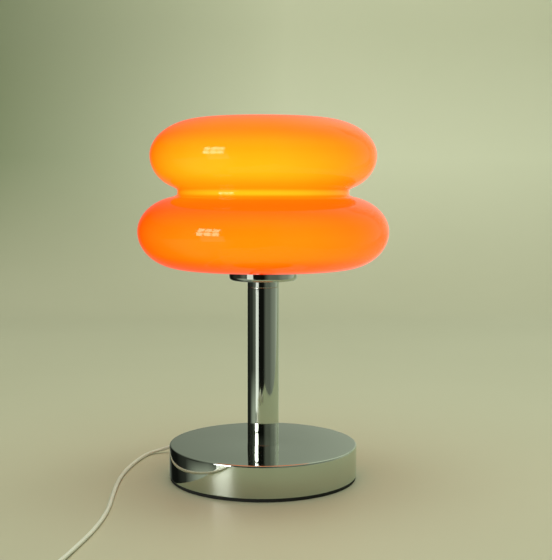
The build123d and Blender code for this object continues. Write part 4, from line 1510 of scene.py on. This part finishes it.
@dataclass
class Base(SubAssembly):
    """The round chrome base on its black foot."""

    edge: float = 1.5 * MM
    lip: float = 0.4 * MM
    wall: float = 1.5 * MM
    fine_edge: float = 0.1 * MM
    inner_edge: float = 0.8 * MM
    foot_edge: float = 0.6 * MM
    foot_top_edge: float = 0.3 * MM
    cord_hole: float = 4.0 * MM
    hole_distance: float = 75.0
    hole_length: float = 12.0 * MM
    hole_segments: int = 48

    def build(self) -> None:
        """Make the cover and the foot."""
        self.make_cover()
        self.make_foot()

    def make_cover(self) -> None:
        """Make the hollow cover with its rounded edges and the cord's hole."""
        low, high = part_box("base_cover")
        radius = high.x
        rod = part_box("threaded_rod")[1].x
        inside = radius - self.wall
        outline = Outline().corners(
            (radius, low.z, self.lip), (radius, high.z, self.edge), (rod, high.z, self.fine_edge),
            (rod, high.z - self.wall, self.fine_edge), (inside, high.z - self.wall, self.inner_edge),
            (inside, low.z, self.lip),
        )
        cover = self.turned("base_shell", outline, Slot.CHROME, Segments=256)
        cutter = self.hole_cutter()
        cut = cover.modifiers.new("cord_hole", "BOOLEAN")
        cut.object = cutter
        cut.solver = "EXACT"
        cover = bake(cover, "base_shell")
        bpy.data.objects.remove(cutter)
        self.settle(cover, "lamp", Slot.CHROME, "base_cover")

    def make_foot(self) -> None:
        """Make the round foam foot under the cover."""
        foot_low, foot_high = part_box("foot_pad")
        edge = foot_high.x
        outline = Outline().corners(
            (edge, foot_low.z, self.foot_edge), (edge, foot_high.z, self.foot_top_edge),
            (0.0, foot_high.z, 0.0), (0.0, foot_low.z, 0.0),
        )
        # The open outline starts and ends on the axis.
        outline.points = outline.points[-1:] + outline.points[:-1]
        foot = self.turned("foot_ring", outline, Slot.BLACK_FOAM, closed=False, Segments=160)
        self.settle(foot, "lamp", Slot.BLACK_FOAM, "foot_pad")

    def hole_cutter(self) -> bpy.types.Object:
        """Make the rod that cuts the cord's hole through the wall.

        Returns:
            The cutter, removed after use.
        """
        shape = bmesh.new()
        bmesh.ops.create_cone(
            shape, cap_ends=True, segments=self.hole_segments, radius1=self.cord_hole,
            radius2=self.cord_hole, depth=self.hole_length,
        )
        bmesh.ops.transform(shape, matrix=cord_exit(self.hole_distance), verts=shape.verts)
        mesh = bpy.data.meshes.new("cord_hole")
        shape.to_mesh(mesh)
        shape.free()
        return link_object("cord_hole", mesh)


@dataclass
class Stem(SubAssembly):
    """The chrome tube and the short collar on top of it."""

    wall: float = 1.2 * MM
    edge: float = 0.35 * MM
    foot_edge: float = 0.25 * MM
    inner_edge: float = 0.2 * MM
    spigot_edge: float = 0.4 * MM
    clearance: float = 0.1 * MM
    segments: int = 160

    def build(self) -> None:
        """Make the tube and the collar with softly broken edges."""
        low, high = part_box("stem_tube")
        radius, bore = high.x, high.x - self.wall
        outline = Outline().corners(
            (radius, low.z, self.foot_edge), (radius, high.z, self.edge), (bore, high.z, self.inner_edge),
            (bore, low.z, self.inner_edge),
        )
        tube = self.turned("stem_pipe", outline, Slot.CHROME, Segments=self.segments)
        self.settle(tube, "lamp", Slot.CHROME, "stem_tube")
        shoulder = high.z
        low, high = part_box("stem_collar")
        spigot = bore - self.clearance
        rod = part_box("threaded_rod")[1].x + self.clearance
        outline = Outline().corners(
            (rod, low.z, self.inner_edge), (spigot, low.z, self.spigot_edge), (spigot, shoulder, 0.0),
            (radius, shoulder, self.edge), (radius, high.z, self.inner_edge), (rod, high.z, self.inner_edge),
        )
        collar = self.turned("stem_top_collar", outline, Slot.CHROME, Segments=self.segments)
        self.settle(collar, "lamp", Slot.CHROME, "stem_collar")


@dataclass
class Gallery(SubAssembly):
    """The chrome dish that holds the shade's neck."""

    wall: float = 2.0 * MM
    floor: float = 1.5 * MM
    lower_edge: float = 3.2 * MM
    rim_edge: float = 0.7 * MM
    inner_edge: float = 0.3 * MM
    bore_edge: float = 0.1 * MM
    screw_azimuth: float = -51.0
    screw_count: int = 3
    screw_height: float = 4.0 * MM
    screw_radius: float = 1.5 * MM
    screw_length: float = 1.85 * MM
    screw_seat: float = 1.9 * MM
    screw_segments: int = 24
    socket_radius: float = 0.75 * MM
    socket_depth: float = 1.0 * MM

    def build(self) -> None:
        """Make the dish and its grub screws."""
        self.make_dish()
        self.make_screws()

    def make_dish(self) -> None:
        """Make the dish with its wide round lower edge."""
        low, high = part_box("gallery_cup")
        radius = high.x
        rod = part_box("threaded_rod")[1].x + 0.05 * MM
        bore = radius - self.wall
        outline = Outline().corners(
            (rod, low.z, self.bore_edge), (radius, low.z, self.lower_edge), (radius, high.z, self.rim_edge),
            (bore, high.z, self.inner_edge), (bore, low.z + self.floor, self.inner_edge),
            (rod, low.z + self.floor, self.bore_edge), steps=10,
        )
        dish = self.turned("gallery_dish", outline, Slot.CHROME, Segments=192)
        self.settle(dish, "lamp", Slot.CHROME, "gallery_cup")

    def make_screws(self) -> None:
        """Make the grub screws with their sockets, evenly round the dish."""
        low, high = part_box("gallery_cup")
        outer, end, bottom = self.screw_radius, self.screw_length, self.screw_length - self.socket_depth
        outline = Outline().to(0.0, 0.0).to(outer, 0.0).to(outer, end - 0.15 * MM).to(outer - 0.2 * MM, end)
        outline.to(self.socket_radius, end).to(self.socket_radius, bottom).to(0.0, bottom - 0.2 * MM)
        screw = self.turned("grub", outline, Slot.ZINC, closed=False, Segments=self.screw_segments)
        place = Matrix.Translation((high.x - self.screw_seat, 0.0, low.z + self.screw_height))
        screw.data.transform(place @ Matrix.Rotation(math.pi / 2, 4, "Y"))
        mesh = screw.data
        bpy.data.objects.remove(screw)
        screws = self.tools.run(
            "grub_screws", mesh, self.tools.ring, Count=self.screw_count,
            Start=math.radians(self.screw_azimuth), Material=self.paint.of(Slot.ZINC),
        )
        self.settle(screws, "lamp", Slot.ZINC, "set_screws")


# ---------------------------------------------------------------- glass


@dataclass
class GlassShade(SubAssembly):
    """The blown shade: two flat round lobes joined by a waist, open at the neck."""

    glass_wall: float = 3.0 * MM
    neck_wall: float = 2.6 * MM
    neck_length: float = 6.7 * MM
    lower_radius: float = 99.2 * MM
    lower_rise: float = 29.3 * MM
    lower_side: float = 36.0 * MM
    lower_shoulder: float = 38.0 * MM
    lower_top: float = 28.4 * MM
    waist_radius: float = 68.8 * MM
    waist_height: float = 6.2 * MM
    upper_radius: float = 89.2 * MM
    upper_rise: float = 27.1 * MM
    upper_side: float = 31.0 * MM
    upper_shoulder: float = 44.0 * MM
    upper_top: float = 29.1 * MM
    neck_radius: float = 24.1 * MM
    waist_flare: float = 1.1 * MM
    waist_steps: tuple[float, ...] = (0.12, 0.3, 0.5, 0.7, 0.88)
    joint_softness: float = 4.0
    waver: float = 0.5 * MM
    edge_angle: float = 1.2
    segments: int = 224
    outer_steps: int = 26
    inner_steps: int = 14

    def outline(self, inset: float, neck: float, steps: int) -> list[tuple[float, float]]:
        """Half outline from the neck's rim to the crown.

        Args:
            inset: how far it is moved in from the outer face.
            neck: radius of the neck on this face.
            steps: pieces of each quarter.

        Returns:
            Radius and height of each point.
        """
        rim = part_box("glass_shade")[0].z
        root = rim + self.neck_length
        low_z = root + self.lower_rise
        waist = self.waist_radius - inset
        low_side_centre = self.lower_radius - self.lower_side
        low_top_centre = self.lower_radius - self.lower_shoulder
        low_a, low_b = self.lower_shoulder - inset, self.lower_top - inset
        low_end = math.acos((waist - low_top_centre) / low_a)
        joint = math.acos((self.waist_radius - low_top_centre) / self.lower_shoulder)
        band_top = low_z + self.lower_top * math.sin(joint) + self.waist_height
        up_side_centre = self.upper_radius - self.upper_side
        up_top_centre = self.upper_radius - self.upper_shoulder
        rise = math.acos((self.waist_radius - up_side_centre) / self.upper_side)
        up_z = band_top + self.upper_rise * math.sin(rise)
        up_a, up_b = self.upper_side - inset, self.upper_rise - inset
        up_start = math.acos((waist - up_side_centre) / up_a)
        line = Outline().to(neck, rim + 0.5 * MM).to(neck, root - 2.0 * MM)
        line.to(neck + 0.4 * MM, root + inset - 0.6 * MM).to(neck + 1.6 * MM, root + inset)
        low_side = (low_side_centre, low_z)
        line.arc(low_side, self.lower_side - inset, self.lower_rise - inset, -90, 0, steps, last=False)
        line.arc((low_top_centre, low_z), low_a, low_b, 0, math.degrees(low_end), steps, last=False)
        low_join = low_z + low_b * math.sin(low_end)
        up_join = up_z - up_b * math.sin(up_start)
        soft = waist - self.waist_flare
        for share in self.waist_steps:
            flared = soft + self.waist_flare * (2 * share - 1) ** 4
            line.to(flared, low_join + (up_join - low_join) * share)
        start = math.degrees(-up_start) + self.joint_softness
        line.arc((up_side_centre, up_z), up_a, up_b, start, 0, steps, last=False)
        line.arc((up_top_centre, up_z), self.upper_shoulder - inset, self.upper_top - inset, 0, 90, steps)
        line.to(0.0, up_z + self.upper_top - inset)
        return line.points

    def build(self) -> None:
        """Make the whole shade with both faces of its glass and a fire-polished rim."""
        outside = self.outline(0.0, self.neck_radius, self.outer_steps)
        inside = self.outline(self.glass_wall, self.neck_radius - self.neck_wall, self.inner_steps)
        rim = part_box("glass_shade")[0].z
        half_wall = self.neck_wall / 2
        middle = self.neck_radius - half_wall
        line = Outline()
        line.points = list(reversed(inside))
        line.to(middle + 0.9 * MM - half_wall, rim + 0.1 * MM).to(middle, rim)
        line.to(middle - 0.9 * MM + half_wall, rim + 0.1 * MM)
        line.points += outside
        shade = self.turned(
            "blown_shade", line, Slot.GLASS, closed=False, Segments=self.segments,
            Edge_Angle=self.edge_angle, Waver=self.waver, Waver_Above=rim + self.neck_length,
        )
        self.settle(shade, "shade", Slot.GLASS, "glass_shade")


# ---------------------------------------------------------------- bulb and lampholder


@dataclass
class Bulb(SubAssembly):
    """The small lit bulb with its real screw thread."""

    globe_radius: float = 20.0 * MM
    globe_wall: float = 1.2 * MM
    thread_pitch: float = 2.82 * MM
    core_radius: float = 6.05 * MM
    ridge: float = 0.85 * MM
    thread_start: float = 1.4 * MM
    thread_margin: float = 4.0 * MM
    housing_foot: float = 7.4 * MM
    housing_top: float = 13.0 * MM
    chip_count: int = 6
    chip_circle: float = 7.0 * MM
    chip_length: float = 3.5 * MM
    chip_width: float = 2.8 * MM
    chip_edge: float = 0.15 * MM

    def build(self) -> None:
        """Make the globe, the housing, the threaded cap and the chips."""
        self.make_globe()
        self.make_housing()
        self.make_cap()
        self.make_chips()

    def make_globe(self) -> None:
        """Make the hollow opal globe."""
        low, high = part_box("bulb_globe")
        centre = high.z - self.globe_radius
        start = math.degrees(math.asin((low.z - centre) / self.globe_radius))
        inner = self.globe_radius - self.globe_wall
        inner_start = math.degrees(math.asin((low.z - centre) / inner))
        line = Outline().arc((0.0, centre), inner, inner, 90, inner_start, 30)
        line.arc((0.0, centre), self.globe_radius, self.globe_radius, start, 90, 40)
        globe = self.turned("opal_globe", line, Slot.OPAL, closed=False, Segments=96)
        self.settle(globe, "bulb", Slot.OPAL, "bulb_globe")

    def make_housing(self) -> None:
        """Make the white housing between the globe and the cap."""
        low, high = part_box("bulb_housing")
        bottom, top = self.housing_foot, self.housing_top
        line = Outline().to(0.0, low.z).to(bottom - 0.3 * MM, low.z).to(bottom, low.z + 0.3 * MM)
        line.to(bottom + 0.3 * MM, low.z + 1.2 * MM).to(top - 0.9 * MM, high.z - 2.2 * MM)
        line.to(top - 0.3 * MM, high.z - 1.4 * MM).to(top - 0.35 * MM, high.z - 1.1 * MM)
        line.to(top, high.z - 0.9 * MM).to(top, high.z - 0.1 * MM).to(top - 0.2 * MM, high.z).to(0.0, high.z)
        housing = self.turned("bulb_shell", line, Slot.BULB_WHITE, closed=False, Segments=72, Edge_Angle=0.5)
        self.settle(housing, "bulb", Slot.BULB_WHITE, "bulb_housing")

    def make_cap(self) -> None:
        """Make the metal cap with its thread."""
        low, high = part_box("bulb_cap")
        radius, flare = self.core_radius, self.core_radius + 0.25 * MM
        core = Outline().to(0.0, low.z).to(radius - 0.5 * MM, low.z)
        core.to(radius, low.z + 0.6 * MM).to(radius, high.z - 1.2 * MM)
        core.to(flare, high.z - 0.9 * MM).to(flare, high.z).to(0.0, high.z)
        cap = self.turned("cap_core", core, Slot.NICKEL, closed=False, Segments=64)
        mesh = cap.data
        bpy.data.objects.remove(cap)
        turns = (high.z - low.z - self.thread_margin) / self.thread_pitch
        screw = self.tools.run(
            "bulb_screw_cap", mesh, self.tools.thread, Turns=turns, Pitch=self.thread_pitch,
            Radius=radius - 0.05 * MM, Ridge=self.ridge, Bottom=low.z + self.thread_start,
            Material=self.paint.of(Slot.NICKEL),
        )
        self.settle(screw, "bulb", Slot.NICKEL, "bulb_cap")

    def make_chips(self) -> None:
        """Make the ring of light-emitting chips."""
        low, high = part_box("led_chips")
        half_length, half_width = self.chip_length / 2, self.chip_width / 2
        near = (self.chip_circle - half_width, -half_length, low.z)
        far = (self.chip_circle + half_width, half_length, high.z)
        chips = self.tools.run(
            "chip_ring", rounded_block(near, far, self.chip_edge, 2), self.tools.ring,
            Count=self.chip_count, Start=0.0, Material=self.paint.of(Slot.LED),
        )
        self.settle(chips, "bulb", Slot.LED, "led_chips")


@dataclass
class Lampholder(SubAssembly):
    """The black plastic holder's sleeve with its flutes."""

    wall: float = 2.0 * MM
    flutes: int = 36
    flute_depth: float = 0.25 * MM
    flute_root: float = 0.6 * MM
    flute_half_width: float = 0.35 * MM
    flute_edge: float = 0.2 * MM
    foot_gap: float = 2.0 * MM
    top_gap: float = 3.0 * MM
    foot_edge: float = 0.3 * MM
    rim_edge: float = 0.6 * MM
    inner_edge: float = 0.5 * MM

    def build(self) -> None:
        """Make the sleeve and the flutes round it."""
        low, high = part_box("holder_sleeve")
        radius = high.x
        bore = radius - self.wall
        face = radius - self.flute_depth
        outline = Outline().corners(
            (face, low.z, self.foot_edge), (face, high.z, self.rim_edge), (bore, high.z, self.inner_edge),
            (bore, low.z, self.foot_edge),
        )
        sleeve = self.turned("holder_tube", outline, Slot.BLACK_PLASTIC, Segments=96)
        self.settle(sleeve, "lamp", Slot.BLACK_PLASTIC, "holder_sleeve")
        near = (radius - self.flute_root, -self.flute_half_width, low.z + self.foot_gap)
        far = (radius, self.flute_half_width, high.z - self.top_gap)
        rib = rounded_block(near, far, self.flute_edge, 2)
        flutes = self.tools.run(
            "holder_flutes", rib, self.tools.ring, Count=self.flutes, Start=0.0,
            Material=self.paint.of(Slot.BLACK_PLASTIC),
        )
        self.settle(flutes, "lamp", Slot.BLACK_PLASTIC)


# ---------------------------------------------------------------- main


def main() -> None:
    """Build the studio and every sub-assembly in order."""
    logging.basicConfig(level=logging.INFO, format="%(name)s: %(message)s")
    Studio().build()
    log.info("studio is lit")
    tools, paint = Tools(), Paint()
    log.info("%d packed parts dressed", paint.dress_frame())
    for part in (CordSet, Base, Stem, Gallery, GlassShade, Lampholder, Bulb):
        part(tools, paint).build()
        log.info("%s is built", part.__name__)


if __name__ == "__main__":
    main()
